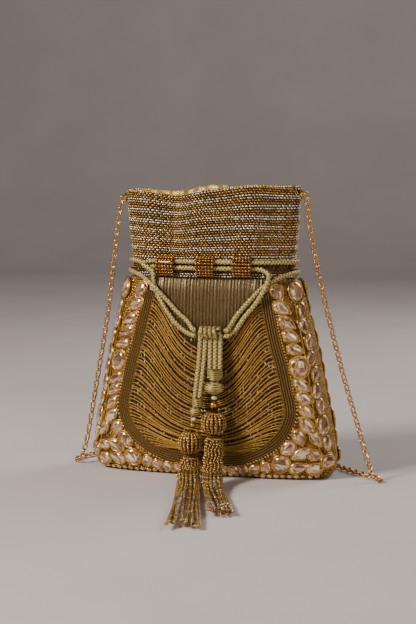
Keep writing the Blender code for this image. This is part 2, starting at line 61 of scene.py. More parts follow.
# soft folds of the frill: place along the turn, depth in millimetres (in is negative) and half width in turns
FOLDS = (
    (-0.112, -5.5, 0.030), (-0.175, 1.6, 0.030), (-0.020, 0.9, 0.045), (0.105, 2.6, 0.045),
    (0.190, -1.6, 0.030), (0.380, -3.2, 0.035), (0.500, 1.8, 0.050), (0.620, -3.6, 0.035),
)
FOLD_FOOT, FOLD_RISE = 152 * MM, 24 * MM
BAG_HEIGHT = 218 * MM
RIM_LEAN = -2 * MM
POUCH_FOOT, POUCH_TOP = 0.4 * MM, 149.8 * MM
LINING_FLOOR, LINING_SLACK = 5.6 * MM, 4.6
FRILL_FOOT, FRILL_TOP = 150.2 * MM, 216 * MM
RIM_BEADS = 190
SWAG_FOOT, SWAG_RISE = 15, 134.5
COIL_SHIFTS = (-3.5, -1.75, 0.0, 1.75, 3.5)
# heights where the swagged strands leave the border, and how high each hangs at the middle, in millimetres
SWAG_DIP = ((20, 35, 51, 66, 95, 136), (18.4, 22.5, 28.5, 36, 56, 96))
ZARI_LINE = (
    (45, 140), (49, 120), (53, 103), (58, 86), (62, 68), (65, 54), (64.3, 46), (60, 36), (53, 28),
    (43, 21.5), (30, 16), (15, 13.6), (0, 13),
)

# Cord routes, the same as the model's own
CORD_RADIUS = 1.7 * MM
NECK_RIDE = CORD_RADIUS + 0.9 * MM
BRAID_STEP = 0.55 * MM
KNOT_CENTRE = np.array((6, -36.5, 110.6)) * MM
KNOT_HALF, KNOT_REACH, KNOT_WINDS = 9.0 * MM, 3.45 * MM, 4.4
TAILS = ((-1.4, -4.7, 62), (2.6, -0.8, 62), (6.4, 6.8, 84), (10.3, 10.7, 84), (14.2, 14.6, 84))
TASSEL_Y = -42.2
KEEPER_TURNS = (-0.112, 0.0, 0.097, 0.36, 0.64)
KEEPER_MIDDLE = 158.6 * MM
KEEPER_ROWS, KEEPER_COLUMNS, KEEPER_BEAD = 9, 6, 2.5
LINK_SIZE = (6.7, 5.5, 5.2)
LINK_LEAN = math.radians(38)
SKIRT_STRINGS, HEAD_RIBS, RIB_BEADS = 15, 17, 11
CHAIN_ROUTE = (
    (-74.7, -0.5, 208.6), (-77.5, -1, 194), (-79.8, -1, 175), (-87, -1, 120), (-95, -0.5, 75),
    (-101.5, -1, 38), (-105, -3, 17), (-108, -5.5, 6), (-112, -5, 2.5), (-114, 4, 2.3), (-111, 17, 2.3),
    (-102, 31, 2.3), (-88, 43, 2.3), (-64, 49, 2.3), (-38, 45, 2.3), (-14, 50, 2.3), (12, 60, 2.3),
    (38, 60, 2.3), (64, 50, 2.3), (84, 36, 2.3), (100, 18, 2.3), (116, 2, 2.3), (129, -10, 2.3),
    (130.5, -16, 2.5), (124.5, -12, 7), (119, -6, 18), (113, -3, 36), (101, -2, 75), (89, -2, 120),
    (78, -1, 165), (73, -1, 194), (70.9, -0.5, 211.8),
)
LEFT_SKIRT = (
    (-7.5, -42.2, 18.0, 6.2, 6.0), (-7.5, -42.6, 14.6, 7.0, 5.6), (-6.6, -48.5, 8.4, 8.2, 4.9),
    (-4, -59, 5.4, 8.7, 4.5), (4, -85, 4.4, 8.8, 3.8), (13, -120, 4, 9.6, 3.6), (23, -158, 3.8, 10.8, 3.4),
    (33, -194, 3.5, 12.5, 3.1),
)
RIGHT_SKIRT = (
    (10.7, -42.2, 33.5, 6.4, 6.0), (10.8, -42.6, 30, 7.2, 6.0), (12, -47.5, 21.5, 7.6, 5.6),
    (14, -57.5, 11.8, 7.8, 5.0), (18.5, -73, 6, 7.8, 4.5), (26.5, -98, 4.2, 8, 3.8),
    (37, -126, 3.9, 8.6, 3.5), (47, -152, 3.6, 9.4, 3.2),
)
# Crystals of the right half of the front: x, height, cut, length, width, slope of the pointed end in degrees
FRONT_STONES = (
    (53.5, 139.5, "pear", 12.5, 9.5, -62), (57.4, 128.4, "pear", 13.5, 9.4, -30),
    (61.2, 117.4, "pear", 13, 8.8, -30), (64.7, 107.6, "pear", 13, 8.4, -26),
    (68.0, 98.0, "pear", 12.4, 8.0, -16), (70.6, 85.2, "oval", 15.2, 13.6, -75),
    (73.4, 71.6, "pear", 13.6, 8.8, -30), (75.4, 62.0, "pear", 13, 8.4, -24),
    (76.8, 52.0, "pear", 12.6, 8.6, -40), (77.0, 41.6, "marquise", 14.4, 8.4, -48),
    (71.6, 32.8, "pear", 12.2, 9.4, -66), (63.8, 24.8, "oval", 12.4, 9.2, 48),
    (83.6, 31.5, "pear", 12.4, 8.8, -58), (73.4, 20.6, "marquise", 14.6, 8.4, 24),
    (83.4, 19.6, "pear", 11.5, 8.4, -8), (58.4, 12.6, "oval", 13.2, 11.6, 20),
    (71.4, 10.2, "pear", 13.2, 8.6, 16), (82.4, 9.2, "oval", 11.8, 8.4, 4),
    (46.6, 9.8, "round", 8.2, 8.2, 0), (38.0, 7.8, "oval", 8.6, 7.0, 20), (29.6, 7.0, "round", 7.4, 7.4, 0),
    (21.4, 6.6, "oval", 8.0, 6.4, -15), (13.4, 6.4, "round", 6.8, 6.8, 0), (6.0, 6.2, "oval", 7.0, 6.0, 10),
)
# Crystals on the rounded corner: share of the half width, height, cut, length, width, slope
SIDE_STONES = (
    (0.95, 140.5, "oval", 15.0, 12.0, 84), (0.965, 126.4, "pear", 12.4, 8.6, -104),
    (0.955, 114.6, "pear", 12.4, 9.2, -70), (0.965, 102.6, "pear", 12.6, 8.8, -96),
    (0.955, 90.6, "oval", 12.4, 9.0, 66), (0.965, 78.6, "pear", 12.6, 8.8, -104),
    (0.955, 66.8, "oval", 12.4, 9.0, 78), (0.965, 54.8, "pear", 12.8, 9.0, -96),
    (0.96, 41.2, "oval", 15.8, 11.2, 84), (0.965, 27.4, "pear", 12.4, 9.4, -84),
    (0.96, 14.6, "oval", 12.6, 10.2, 20),
)


# ---------------------------------------------------------------- shape of the bag
def outline(height):
    """Half width, half depth and squareness at a height, smooth between the stations."""
    z = height / MM
    k = int(np.clip(np.searchsorted(STATIONS[:, 0], z) - 1, 0, len(STATIONS) - 2))
    low, high = STATIONS[k], STATIONS[k + 1]
    before, after = STATIONS[max(k - 1, 0)], STATIONS[min(k + 2, len(STATIONS) - 1)]
    span = high[0] - low[0]
    t = (z - low[0]) / span
    rise_low = (high - before) / (high[0] - before[0]) * span
    rise_high = (after - low) / (after[0] - low[0]) * span
    value = ((2 * t**3 - 3 * t**2 + 1) * low + (t**3 - 2 * t**2 + t) * rise_low
             + (-2 * t**3 + 3 * t**2) * high + (t**3 - t**2) * rise_high)
    return value[1] * MM, value[2] * MM, value[3]


def fold(turn, height):
    """How far the frill stands out of (or in from) its plain outline."""
    rise = min(max((height - FOLD_FOOT) / FOLD_RISE, 0), 1)
    if rise == 0:
        return 0.0
    total = sum(depth * math.exp(-(((turn - place + 0.5) % 1 - 0.5) / width) ** 2)
                for place, depth, width in FOLDS)
    return total * MM * rise * rise * (3 - 2 * rise)


ANGLES = np.linspace(-math.pi / 2, 1.5 * math.pi, 361)
COSINES, SINES = np.cos(ANGLES), np.sin(ANGLES)
FIRST_QUARTER = slice(0, 91)


def ring(height, offset=0.0):
    """The outline at a height, once round from the front centre towards +X: x, y and the distance run."""
    half_width, half_depth, square = outline(height)
    x = (half_width + offset) * np.sign(COSINES) * np.abs(COSINES) ** (2 / square)
    y = (half_depth + offset) * np.sign(SINES) * np.abs(SINES) ** (2 / square)
    return x, y, np.concatenate([[0], np.cumsum(np.hypot(np.diff(x), np.diff(y)))])


def skin(turn, height, offset=0.0):
    """A point on the bag's outer face: turn runs once round from the front centre towards +X."""
    x, y, run = ring(height, offset + fold(turn, height))
    place = (turn % 1) * run[-1]
    lean = RIM_LEAN * height / BAG_HEIGHT
    return np.array([np.interp(place, run, x) + lean, np.interp(place, run, y), height])


def girth(height):
    """The distance once round the bag at a height."""
    return float(ring(height)[2][-1])


def turn_for(height, share):
    """Where on the turn the outline's right front reaches a share of its half width."""
    x, _, run = ring(height)
    return float(np.interp(share * outline(height)[0], x[FIRST_QUARTER], run[FIRST_QUARTER]) / run[-1])


def on_front(x, height, offset=0.0, side=-1):
    """A point on the front (side -1) or back (side 1) face above the given x."""
    half_width, half_depth, square = outline(height)
    across = min(abs(x) / (half_width + offset), 0.999)
    return np.array([x, side * (half_depth + offset) * (1 - across**square) ** (1 / square), height])


def rim_height(turn):
    """The rim dips at the front fold, swells beside it and stands a little higher at the back."""
    x = skin(turn, 200 * MM)[0] / MM
    back = 0.5 - 0.5 * math.cos(TURN * turn)
    front = 1 - back
    wave = front * (-4.2 * math.exp(-((x + 28) / 17) ** 2) + 3.0 * math.exp(-((x - 36) / 22) ** 2))
    wave += back * (1.4 * math.cos(x / 11) + 0.6)
    return (215.6 + 0.022 * x + wave) * MM


def unit(vectors):
    """A vector, or each row of an array, at length 1."""
    return vectors / np.linalg.norm(vectors, axis=-1, keepdims=True)


def axes_at(place, across, height, step, hand=1):
    """A point of a face and its directions along, up and out; place(across, height) gives the face's points."""
    along = unit(place(across + step, height) - place(across - step, height)) * hand
    up = unit(place(across, height + 1 * MM) - place(across, height - 1 * MM))
    out = unit(np.cross(along, up))
    return place(across, height), along, unit(np.cross(out, along)), out


def skin_axes(turn, height, offset=0.0):
    """The point and directions at a turn."""
    return axes_at(lambda t, z: skin(t, z, offset), turn, height, 0.002)


def face_axes(x, height, offset=0.0, side=-1):
    """The point and directions at an x on the front or back face; along runs to the right of who faces it."""
    return axes_at(lambda t, z: on_front(t, z, offset, side), x, height, 0.5 * MM, -side)


def headings(line):
    """The direction of a line at each of its points."""
    return unit(np.gradient(line, axis=0))


def distances(line):
    """The distance run along a line at each of its points."""
    return np.concatenate([[0], np.cumsum(np.linalg.norm(np.diff(line, axis=0), axis=1))])


def point_at(line, run, mark):
    """The point of a line where the distance run reaches a mark, or one point for each of several marks."""
    return np.stack([np.interp(mark, run, values) for values in line.T], axis=-1)


def smooth_line(points, spacing):
    """A smooth line through the given points, cut into steps of about the given length."""
    points = np.array(points, float)
    ends = np.vstack([2 * points[0] - points[1], points, 2 * points[-1] - points[-2]])
    t = np.linspace(0, 1, 24, endpoint=False)[:, None]
    fine = [0.5 * (2 * b + (c - a) * t + (2 * a - 5 * b + 4 * c - d) * t**2 + (3 * b - a - 3 * c + d) * t**3)
            for a, b, c, d in zip(ends, ends[1:], ends[2:], ends[3:])]
    fine = np.vstack(fine + [points[-1:]])
    run = distances(fine)
    return point_at(fine, run, np.linspace(0, run[-1], max(2, round(run[-1] / spacing)) + 1))


def length_of(line):
    return float(distances(line)[-1])


# ---------------------------------------------------------------- modelling helpers
def fresh():
    """Nothing selected, object mode."""
    if bpy.context.object and bpy.context.object.mode != "OBJECT":
        bpy.ops.object.mode_set(mode="OBJECT")
    bpy.ops.object.select_all(action="DESELECT")


def finished(obj, name, shade, slot, replaces=(), smooth=True):
    """Names a piece, gives it the finish called shade and hangs it on the bag."""
    obj.name = obj.data.name = name
    obj.data.materials.clear()
    obj.data.materials.append(finish(shade))
    if smooth:
        obj.data.shade_smooth()
    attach(obj, ROOT)
    if replaces:
        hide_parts(*replaces)
    return obj


def cloth_grid(columns, rows, place, closed=True, wall=0.0):
    """A grid laid on the bag: place(share across, share up) gives each point; closed joins its ends."""
    fresh()
    bpy.ops.mesh.primitive_grid_add(x_subdivisions=columns, y_subdivisions=rows, size=1)
    obj = bpy.context.object
    for vertex in obj.data.vertices:
        vertex.co = place(vertex.co.x + 0.5, vertex.co.y + 0.5)
    bpy.ops.object.mode_set(mode="EDIT")
    bpy.ops.mesh.select_all(action="SELECT")
    if closed:
        bpy.ops.mesh.remove_doubles(threshold=1e-5)
    bpy.ops.mesh.normals_make_consistent(inside=False)
    bpy.ops.object.mode_set(mode="OBJECT")
    if wall:
        thicken = obj.modifiers.new("wall", "SOLIDIFY")
        thicken.thickness = wall
        thicken.offset = -1
        bpy.ops.object.modifier_apply(modifier="wall")
    return obj


def joined(objects):
    """Several objects as one."""
    fresh()
    for obj in objects:
        obj.select_set(True)
    bpy.context.view_layer.objects.active = objects[0]
    bpy.ops.object.join()
    return bpy.context.object


def raw_mesh(points, *groups):
    """A mesh from arrays: each group holds polygons with equal numbers of corners."""
    mesh = bpy.data.meshes.new("piece")
    mesh.vertices.add(len(points))
    mesh.vertices.foreach_set("co", np.ascontiguousarray(points, np.float32).ravel())
    loops = np.concatenate([g.ravel() for g in groups])
    sizes = np.concatenate([np.full(len(g), g.shape[1]) for g in groups])
    mesh.loops.add(len(loops))
    mesh.loops.foreach_set("vertex_index", loops.astype(np.int32))
    mesh.polygons.add(len(sizes))
    mesh.polygons.foreach_set("loop_start", (np.cumsum(sizes) - sizes).astype(np.int32))
    mesh.update(calc_edges=True)
    mesh.validate()
    obj = bpy.data.objects.new("piece", mesh)
    bpy.context.scene.collection.objects.link(obj)
    return obj


def model_of(obj):
    """The points and triangles of a model, which is then removed. The triangles are sorted by their centres,

    since Blender lists them in a different order each time, and the facets' shades follow that order.
    """
    mesh = obj.data
    mesh.calc_loop_triangles()
    points = np.array([v.co[:] for v in mesh.vertices])
    triangles = np.array([t.vertices[:] for t in mesh.loop_triangles])
    bpy.data.objects.remove(obj, do_unlink=True)
    return points, triangles[np.lexsort(points[triangles].mean(axis=1).round(4).T)]


def scatter(model, places, tints=None, facets=0):
    """Copies of one model as one mesh; a place is an origin and three sides, each scaled to its size.

    tints gives each copy a number that its material reads as "tint"; facets seeds a number for each face.
    """
    points, triangles = model
    origins = np.array([p[0] for p in places])
    sides = np.array([p[1:4] for p in places])
    everything = origins[:, None, :] + np.einsum("pk,nkj->npj", points, sides)
    faces = triangles[None] + (np.arange(len(places)) * len(points))[:, None, None]
    obj = raw_mesh(everything.reshape(-1, 3), faces.reshape(-1, 3))
    if tints is not None:
        layer = obj.data.attributes.new("tint", "FLOAT", "POINT")
        layer.data.foreach_set("value", np.repeat(np.array(tints, np.float32), len(points)))
    # each face's random number becomes its painted shade, up to a painted highlight, in the crystal finish
    if facets:
        shades = np.random.default_rng(facets).random(len(obj.data.polygons)).astype(np.float32)
        layer = obj.data.attributes.new("facet", "FLOAT", "FACE")
        layer.data.foreach_set("value", shades)
    return obj


def placed(axes, *size):
    """A place for scatter: a point with its directions, each scaled to its size or all to the same one."""
    point, *sides = axes
    return (point, *(side * length for side, length in zip(sides, size * (3 // len(size)))))


def sewn(name, model, copies, shade, slot, replaces=(), smooth=False):
    """A finished piece of small copies, each given as (place, tint)."""
    places, tints = zip(*copies)
    return finished(scatter(model, places, tints), name, shade, slot, replaces, smooth)


def outward(points):
    """Which way is out of the bag at each point, level with the ground."""
    found = []
    for x, y, z in points:
        half_width, half_depth, square = outline(min(max(z, 1 * MM), 220 * MM))
        away = np.array([np.sign(x) * (abs(x) / half_width) ** (square - 1) / half_width,
                         np.sign(y) * (abs(y) / half_depth) ** (square - 1) / half_depth, 0])
        found.append(unit(away + np.array([0, -1e-6, 0])))
    return np.array(found)


def tubes(lines, wide, high=None, sides=8, guide=None, taper=None, relief=None):
    """Round or flat cords as one mesh, with a UV map of distance along (in millimetres) and share round.

    Their thin way faces out of the bag, or as guide says; taper(share) and relief(along, angle) swell them.
    """
    high = wide if high is None else high
    columns = np.arange(sides)
    around = TURN * columns / sides
    points, quads, caps, coordinates = [], [], [], []
    base = 0
    for line in lines:
        line = np.array(line)
        count = len(line)
        run = headings(line)
        side = np.cross(run, outward(line) if guide is None else np.tile(guide, (count, 1)))
        weak = np.linalg.norm(side, axis=1) < 0.2
        side[weak] = np.cross(run[weak], [0.0, -1.0, 0.02])
        side = unit(side)
        top = np.cross(side, run)
        size = np.ones(count) if taper is None else np.array([taper(t) for t in np.linspace(0, 1, count)])
        along = distances(line) / MM
        lumps = 1 if relief is None else relief(along[:, None], around[None, :])
        swell = size[:, None] * lumps * np.ones(sides)
        wall = (line[:, None, :] + side[:, None, :] * (np.cos(around) * wide * swell)[:, :, None]
                + top[:, None, :] * (np.sin(around) * high * swell)[:, :, None])
        points.append(wall.reshape(-1, 3))
        start = np.arange(count - 1)[:, None] * sides + base
        a, b = start + columns, start + (columns + 1) % sides
        quads.append(np.stack([a, a + sides, b + sides, b], axis=-1).reshape(-1, 4))
        u0, u1 = np.repeat(along[:-1], sides), np.repeat(along[1:], sides)
        v0 = np.tile(columns / sides, count - 1)
        v1 = v0 + 1 / sides
        corners = [np.stack(corner, -1) for corner in ((u0, v0), (u1, v0), (u1, v1), (u0, v1))]
        coordinates.append(np.stack(corners, axis=1).reshape(-1, 2))
        caps += [base + columns, base + (count - 1) * sides + columns[::-1]]
        base += count * sides
    obj = raw_mesh(np.vstack(points), np.vstack(quads), np.array(caps))
    layer = obj.data.uv_layers.new(name="run")
    everything = np.vstack(coordinates + [np.zeros((np.size(caps), 2))])
    layer.data.foreach_set("uv", everything.astype(np.float32).ravel())
    return obj


# ---------------------------------------------------------------- small models, made once and copied
def round_bead(segments=6, rings=4):
    """A seed bead: a low round form, unit size, its hole along X."""
    fresh()
    bpy.ops.mesh.primitive_uv_sphere_add(segments=segments, ring_count=rings, radius=0.5,
                                         rotation=(0, math.pi / 2, 0))
    bpy.ops.object.transform_apply(location=False, rotation=True, scale=False)
    obj = bpy.context.object
    for vertex in obj.data.vertices:
        vertex.co.x = math.copysign(min(abs(vertex.co.x), 0.42), vertex.co.x) / 0.84
    return model_of(obj)


def bugle_bead():
    """A six-sided glass tube with softened ends, unit size along X."""
    fresh()
    bpy.ops.mesh.primitive_cylinder_add(vertices=6, radius=0.5, depth=1, rotation=(0, math.pi / 2, 0))
    bpy.ops.object.transform_apply(location=False, rotation=True, scale=False)
    obj = bpy.context.object
    bpy.ops.object.mode_set(mode="EDIT")
    bpy.ops.mesh.select_all(action="SELECT")
    bpy.ops.object.mode_set(mode="OBJECT")
    for face in obj.data.polygons:
        face.select = len(face.vertices) > 4
    bpy.ops.object.mode_set(mode="EDIT")
    bpy.ops.mesh.inset(thickness=0.14, depth=0.0)
    bpy.ops.transform.resize(value=(1.12, 1, 1))
    bpy.ops.object.mode_set(mode="OBJECT")
    return model_of(obj)


def cut_outline(obj, cut):
    """Pulls a round unit form into an oval's, a pear's or a marquise's outline, pointed towards +X."""
    for vertex in obj.data.vertices:
        x, y = vertex.co.x, vertex.co.y
        if cut == "pear":
            t = min(max(x + 0.5, 0), 1)
            vertex.co.y = y * (1.04 - 0.62 * t**2.2)
            vertex.co.x = x - 0.03 + 0.05 * max(x, 0) * (1 - abs(y) * 1.6)
        elif cut == "marquise":
            vertex.co.y = y * (1.0 - 1.1 * x * x)
            vertex.co.x = x * (1.0 + 0.06 * (1 - abs(y) * 2))


def crystal(cut):
    """A faceted crystal: girdle, two rows of crown facets turned against each other, and a table. Unit size."""
    fresh()
    bpy.ops.mesh.primitive_circle_add(vertices=12, radius=0.46, fill_type="NGON")
    obj = bpy.context.object
    bpy.ops.object.mode_set(mode="EDIT")
    bpy.ops.mesh.select_all(action="SELECT")
    for rise, shrink, twist in ((0.10, 1.04, 0.0), (0.20, 0.84, 15.0), (0.16, 0.70, 15.0)):
        bpy.ops.mesh.extrude_region_move(TRANSFORM_OT_translate={"value": (0, 0, rise)})
        bpy.ops.transform.resize(value=(shrink, shrink, 1))
        if twist:
            bpy.ops.transform.rotate(value=math.radians(twist), orient_axis="Z", center_override=(0, 0, 0))
    bpy.ops.mesh.select_all(action="SELECT")
    bpy.ops.mesh.quads_convert_to_tris()
    bpy.ops.mesh.normals_make_consistent(inside=False)
    bpy.ops.object.mode_set(mode="OBJECT")
    cut_outline(obj, cut)
    return model_of(obj)


def bezel(cut):
    """The gold cup round a crystal: a thin rolled wall with a flat back. Unit size."""
    fresh()
    bpy.ops.mesh.primitive_torus_add(major_segments=20, minor_segments=6, major_radius=0.475,
                                     minor_radius=0.052, location=(0, 0, 0.15))
    bpy.ops.object.transform_apply(location=True, rotation=False, scale=False)
    obj = bpy.context.object
    for vertex in obj.data.vertices:
        vertex.co.z = -0.05 if vertex.co.z < 0.14 else vertex.co.z + 0.06
    cut_outline(obj, cut)
    return model_of(obj)


def link():
    """One curb link lying along X, unit length."""
    fresh()
    bpy.ops.mesh.primitive_torus_add(major_segments=16, minor_segments=6, major_radius=0.36, minor_radius=0.125)
    obj = bpy.context.object
    for vertex in obj.data.vertices:
        vertex.co.x *= 1.06
        vertex.co.y *= 0.86
        vertex.co.z += 0.16 * vertex.co.x * vertex.co.y / 0.13 * 0.5
    return model_of(obj)


# ---------------------------------------------------------------- finishes
OBJECT_POINT, UV_POINT = 3, 2  # outputs of the coordinate node


def scaled(colour, factor):
    """A colour made darker or brighter."""
    return tuple(min(1, c * factor) for c in colour)


class Finish:
    """A material being mixed: each call adds a node and returns the output that the next one needs."""

    def __init__(self, name, colour, roughness, metallic=0.0, **sockets):
        self.material = bpy.data.materials.new(name)
        self.material.use_nodes = True
        self.material.diffuse_color = (*colour, 1)
        self.tree = self.material.node_tree
        self.surface = self.tree.nodes["Principled BSDF"]
        self.put("Base Color", (*colour, 1))
        self.put("Roughness", roughness)
        self.put("Metallic", metallic)
        for socket, value in sockets.items():
            self.put(socket.replace("_", " "), value)

    def put(self, socket, value):
        """Sets a socket of the surface, or joins an output to it."""
        if isinstance(value, bpy.types.NodeSocket):
            self.tree.links.new(value, self.surface.inputs[socket])
        else:
            self.surface.inputs[socket].default_value = value

    def node(self, kind, output=0, **inputs):
        """Adds a node; an input is a value or another node's output, and a name in small letters is a setting."""
        made = self.tree.nodes.new("ShaderNode" + kind)
        for name, value in inputs.items():
            if name[0].islower():
                setattr(made, name, value)
                continue
            socket = made.inputs[int(name[1:]) if name[1:].isdigit() else name.replace("_", " ")]
            if isinstance(value, bpy.types.NodeSocket):
                self.tree.links.new(value, socket)
            else:
                socket.default_value = value
        return made.outputs[output]

    def place(self, scale=(1, 1, 1)):
        """The point on the object in millimetres, stretched."""
        return self.node("Mapping", Vector=self.node("TexCoord", OBJECT_POINT),
                         Scale=tuple(s / MM for s in scale))

    def run(self, scale=(1, 1, 1)):
        """The piece's own UV map, stretched."""
        return self.node("Mapping", Vector=self.node("TexCoord", UV_POINT), Scale=scale)

    def read(self, name):
        """A number stored on the mesh."""
        return self.node("Attribute", 2, attribute_name=name)

    def noise(self, vector, scale, detail=3.0, rough=0.6):
        return self.node("TexNoise", Vector=vector, Scale=scale, Detail=detail, Roughness=rough)

    def maths(self, operation, first, second):
        return self.node("Math", operation=operation, I0=first, I1=second)

    def mixed(self, first, first_share, second, second_share):
        """Two numbers added, each at its share."""
        return self.maths("ADD", self.maths("MULTIPLY", first, first_share),
                          self.maths("MULTIPLY", second, second_share))

    def ramp(self, factor, *stops):
        """Colours blended along a number: each stop is (place, colour)."""
        made = self.tree.nodes.new("ShaderNodeValToRGB")
        blend = made.color_ramp.elements
        for k, (place, colour) in enumerate(stops):
            stop = blend[k] if k < 2 else blend.new(place)
            stop.position = place
            stop.color = (*colour, 1)
        self.tree.links.new(factor, made.inputs[0])
        return made.outputs[0]

    def levels(self, value, low, high):
        """Stretches a number from 0..1 to low..high."""
        return self.node("MapRange", Value=value, I3=low, I4=high)

    def bump(self, height, strength, distance):
        self.put("Normal", self.node("Bump", Height=height, Strength=strength, Distance=distance))


def beads_finish(name, dark, gold, silver, roughness=0.24, metallic=0.8):
    """Foil-lined glass beads, each copy a little different, from amber gold to silver."""
    mix = Finish(name, gold, roughness, metallic, Coat_Weight=0.35, Coat_Roughness=0.08)
    wear = mix.noise(mix.place(), 0.35)
    tint = mix.maths("ADD", mix.read("tint"), mix.maths("MULTIPLY", mix.maths("SUBTRACT", wear, 0.5), 0.22))
    mix.put("Base Color", mix.ramp(tint, (0.0, dark), (0.5, gold), (0.68, gold), (0.82, silver),
                                   (1.0, scaled(silver, 1.18))))
    mix.put("Roughness", mix.levels(mix.noise(mix.place(), 1.7), roughness * 0.6, roughness * 1.6))
    return mix.material


def crystal_finish(name, pale, deep):
    """Foil-backed peach crystal: each face takes a random painted shade, from near black through the peach to a
    near-white painted highlight.
    """
    mix = Finish(name, pale, 0.06, 0.5, Coat_Weight=1.0, Coat_Roughness=0.03, IOR=1.62)
    facet = mix.read("facet")
    depth = mix.mixed(facet, 0.8, mix.noise(mix.place(), 0.12), 0.35)
    # painted light: each face's random number picks its colour, near black as painted shade up to near white as a
    # painted highlight
    mix.put("Base Color", mix.ramp(depth, (0.10, scaled(deep, 0.30)), (0.34, deep), (0.74, pale),
                                   (1.05, (1.0, 0.90, 0.78))))
    mix.put("Roughness", mix.levels(facet, 0.03, 0.16))
    return mix.material


def metal_finish(name, colour, roughness, scratch=2.2):
    """Polished plated metal, rubbed darker in its hollows."""
    mix = Finish(name, colour, roughness, 1.0)
    patina = mix.noise(mix.place(), 0.5, 4)
    mix.put("Base Color", mix.ramp(patina, (0.3, scaled(colour, 0.62)), (0.62, colour)))
    mix.put("Roughness", mix.levels(mix.noise(mix.place(), scratch), roughness * 0.6, roughness * 1.7))
    mix.bump(mix.noise(mix.place(), scratch), 0.12, 0.0002)
    return mix.material


def cord_finish(name, pale, deep, pitch, strands, metallic=0.35, roughness=0.46):
    """Braided or twisted metallic thread: strands cross the cord both ways, with painted shade in the gaps between
    them and a painted highlight on their crowns.
    """
    mix = Finish(name, pale, roughness, metallic)
    weave = mix.maths("MAXIMUM", *(
        mix.node("TexWave", 1, wave_type="BANDS", bands_direction="DIAGONAL", Vector=mix.run((1 / pitch, way, 1)),
                 Scale=0.55, Distortion=0.6, Detail=1.0) for way in (strands, -strands)))
    strand_relief_and_painted_light = mix.mixed(weave, 0.7, mix.noise(mix.place(), 1.1, 5), 0.5)
    # painted light: the deep colour is painted shade in the gaps between strands, and the brightest stop is a
    # painted highlight on their crowns
    mix.put("Base Color", mix.ramp(strand_relief_and_painted_light, (0.42, deep), (0.80, pale), (1.0, scaled(pale, 1.35))))
    mix.bump(strand_relief_and_painted_light, 0.8, 0.0005)
    return mix.material


def tissue_finish(name, pale, deep, stripes):
    """Woven gold tissue with ribs running up it and tiny metal flecks."""
    mix = Finish(name, pale, 0.42, 0.55)
    ribs = mix.node("TexWave", 1, wave_type="BANDS", bands_direction="X", Vector=mix.run((1, 1.4, 1)),
                    Scale=stripes, Distortion=1.6, Detail=2.0)
    flecks = mix.node("TexVoronoi", 0, Vector=mix.place(), Scale=0.9)
    tone = mix.mixed(ribs, 0.45, mix.noise(mix.place((2.4, 2.4, 0.16)), 1.0, 4), 0.6)
    mix.put("Base Color", mix.ramp(tone, (0.22, deep), (0.58, pale), (0.92, scaled(pale, 1.35))))
    mix.put("Roughness", mix.levels(flecks, 0.18, 0.55))
    mix.bump(tone, 0.6, 0.0004)
    return mix.material


def satin_finish(name, pale, deep):
    """Crinkled satin, or any smooth stuff with fine creases, with painted shade in the hollows of the creases."""
    mix = Finish(name, pale, 0.34, 0.35)
    creases = mix.noise(mix.place((1, 1, 0.35)), 0.32, 5, 0.7)
    # painted shade: the colour goes towards deep in the hollows that the bump below makes
    mix.put("Base Color", mix.ramp(creases, (0.3, deep), (0.6, pale)))
    mix.put("Roughness", mix.levels(mix.noise(mix.place((6, 6, 0.6)), 1.0, 2), 0.25, 0.48))
    mix.bump(creases, 0.6, 0.0012)
    return mix.material


# ---------------------------------------------------------------- routes of the cords
def hanging(*points):
    """Points that hang clear of the front, each given by x, height and its distance off the cloth."""
    return [on_front(x * MM, z * MM, out * MM) for x, z, out in points]


def at_knot(z, *places):
    """Points in the knot's own plane, at a height."""
    return [np.array([x * MM, KNOT_CENTRE[1], z * MM]) for x in places]


def round_neck(turn, height, extra=0.0):
    """A point of a cord that lies round the neck, pulled straight over the frill's folds."""
    height *= MM
    return skin(turn, height, NECK_RIDE + extra - min(fold(turn, height), 0))


def neck_run(first, last, heights, extra=0.0, steps=14):
    """Points of a cord lying round the neck between two places on the turn, bulging by extra at its middle."""
    points = []
    for k in range(steps + 1):
        share = k / steps
        height = heights[0] + (heights[1] - heights[0]) * share * share * (3 - 2 * share)
        bulge = extra * math.exp(-(((share - 0.5) / 0.16) ** 2))
        points.append(round_neck(first + (last - first) * share, height, bulge))
    return points


def left_drawcord():
    """From the knot up the outer strand, round the back, through the front loops and down the inner strand."""
    return [
        *at_knot(112.8, -4.8, -7.4),
        *hanging((-12.5, 118, 5.6), (-21, 125, 5.4), (-30, 134.2, 6.6), (-38, 142.2, 9.2), (-45, 146.8, 8.4),
                 (-53, 150.6, 4.4)),
        *neck_run(-0.225, -0.775, (154, 162.2), extra=4.2 * MM),
        *neck_run(-0.83, -1.134, (162.2, 162.2), steps=7),
        round_neck(-0.152, 160.2, 5.0 * MM),
        *hanging((-43.0, 154.5, 7.2), (-41.8, 147, 5.3), (-37.2, 137, 5.2), (-31, 127.3, 5.2), (-22.5, 117, 5.3),
                 (-14, 110.4, 5.6)),
        *at_knot(108.4, -7.4, -4.8)]


def right_drawcord():
    """The mirror of the left one, passing under it at the back and below it through the front loops."""
    return [
        *at_knot(112.8, 17.0, 19.4),
        *hanging((22.5, 119, 5.6), (27, 125.8, 5.4), (36, 136.2, 5.4), (45, 145.6, 5.2), (54, 150.6, 4.4)),
        *neck_run(0.225, 0.775, (154, 162.2)),
        round_neck(0.800, 162.2), round_neck(0.828, 160.6), round_neck(0.855, 158.2),
        *neck_run(0.88, 1.122, (157.4, 157.4), steps=7),
        round_neck(0.140, 156.6, 2.4 * MM),
        *hanging((47.6, 153, 7.6), (47.4, 147.5, 9.2), (44, 140, 8.0), (38.5, 131.5, 5.6), (31, 122.2, 5.4),
                 (25, 113.2, 5.4)),
        *at_knot(108.4, 19.4, 17.0)]


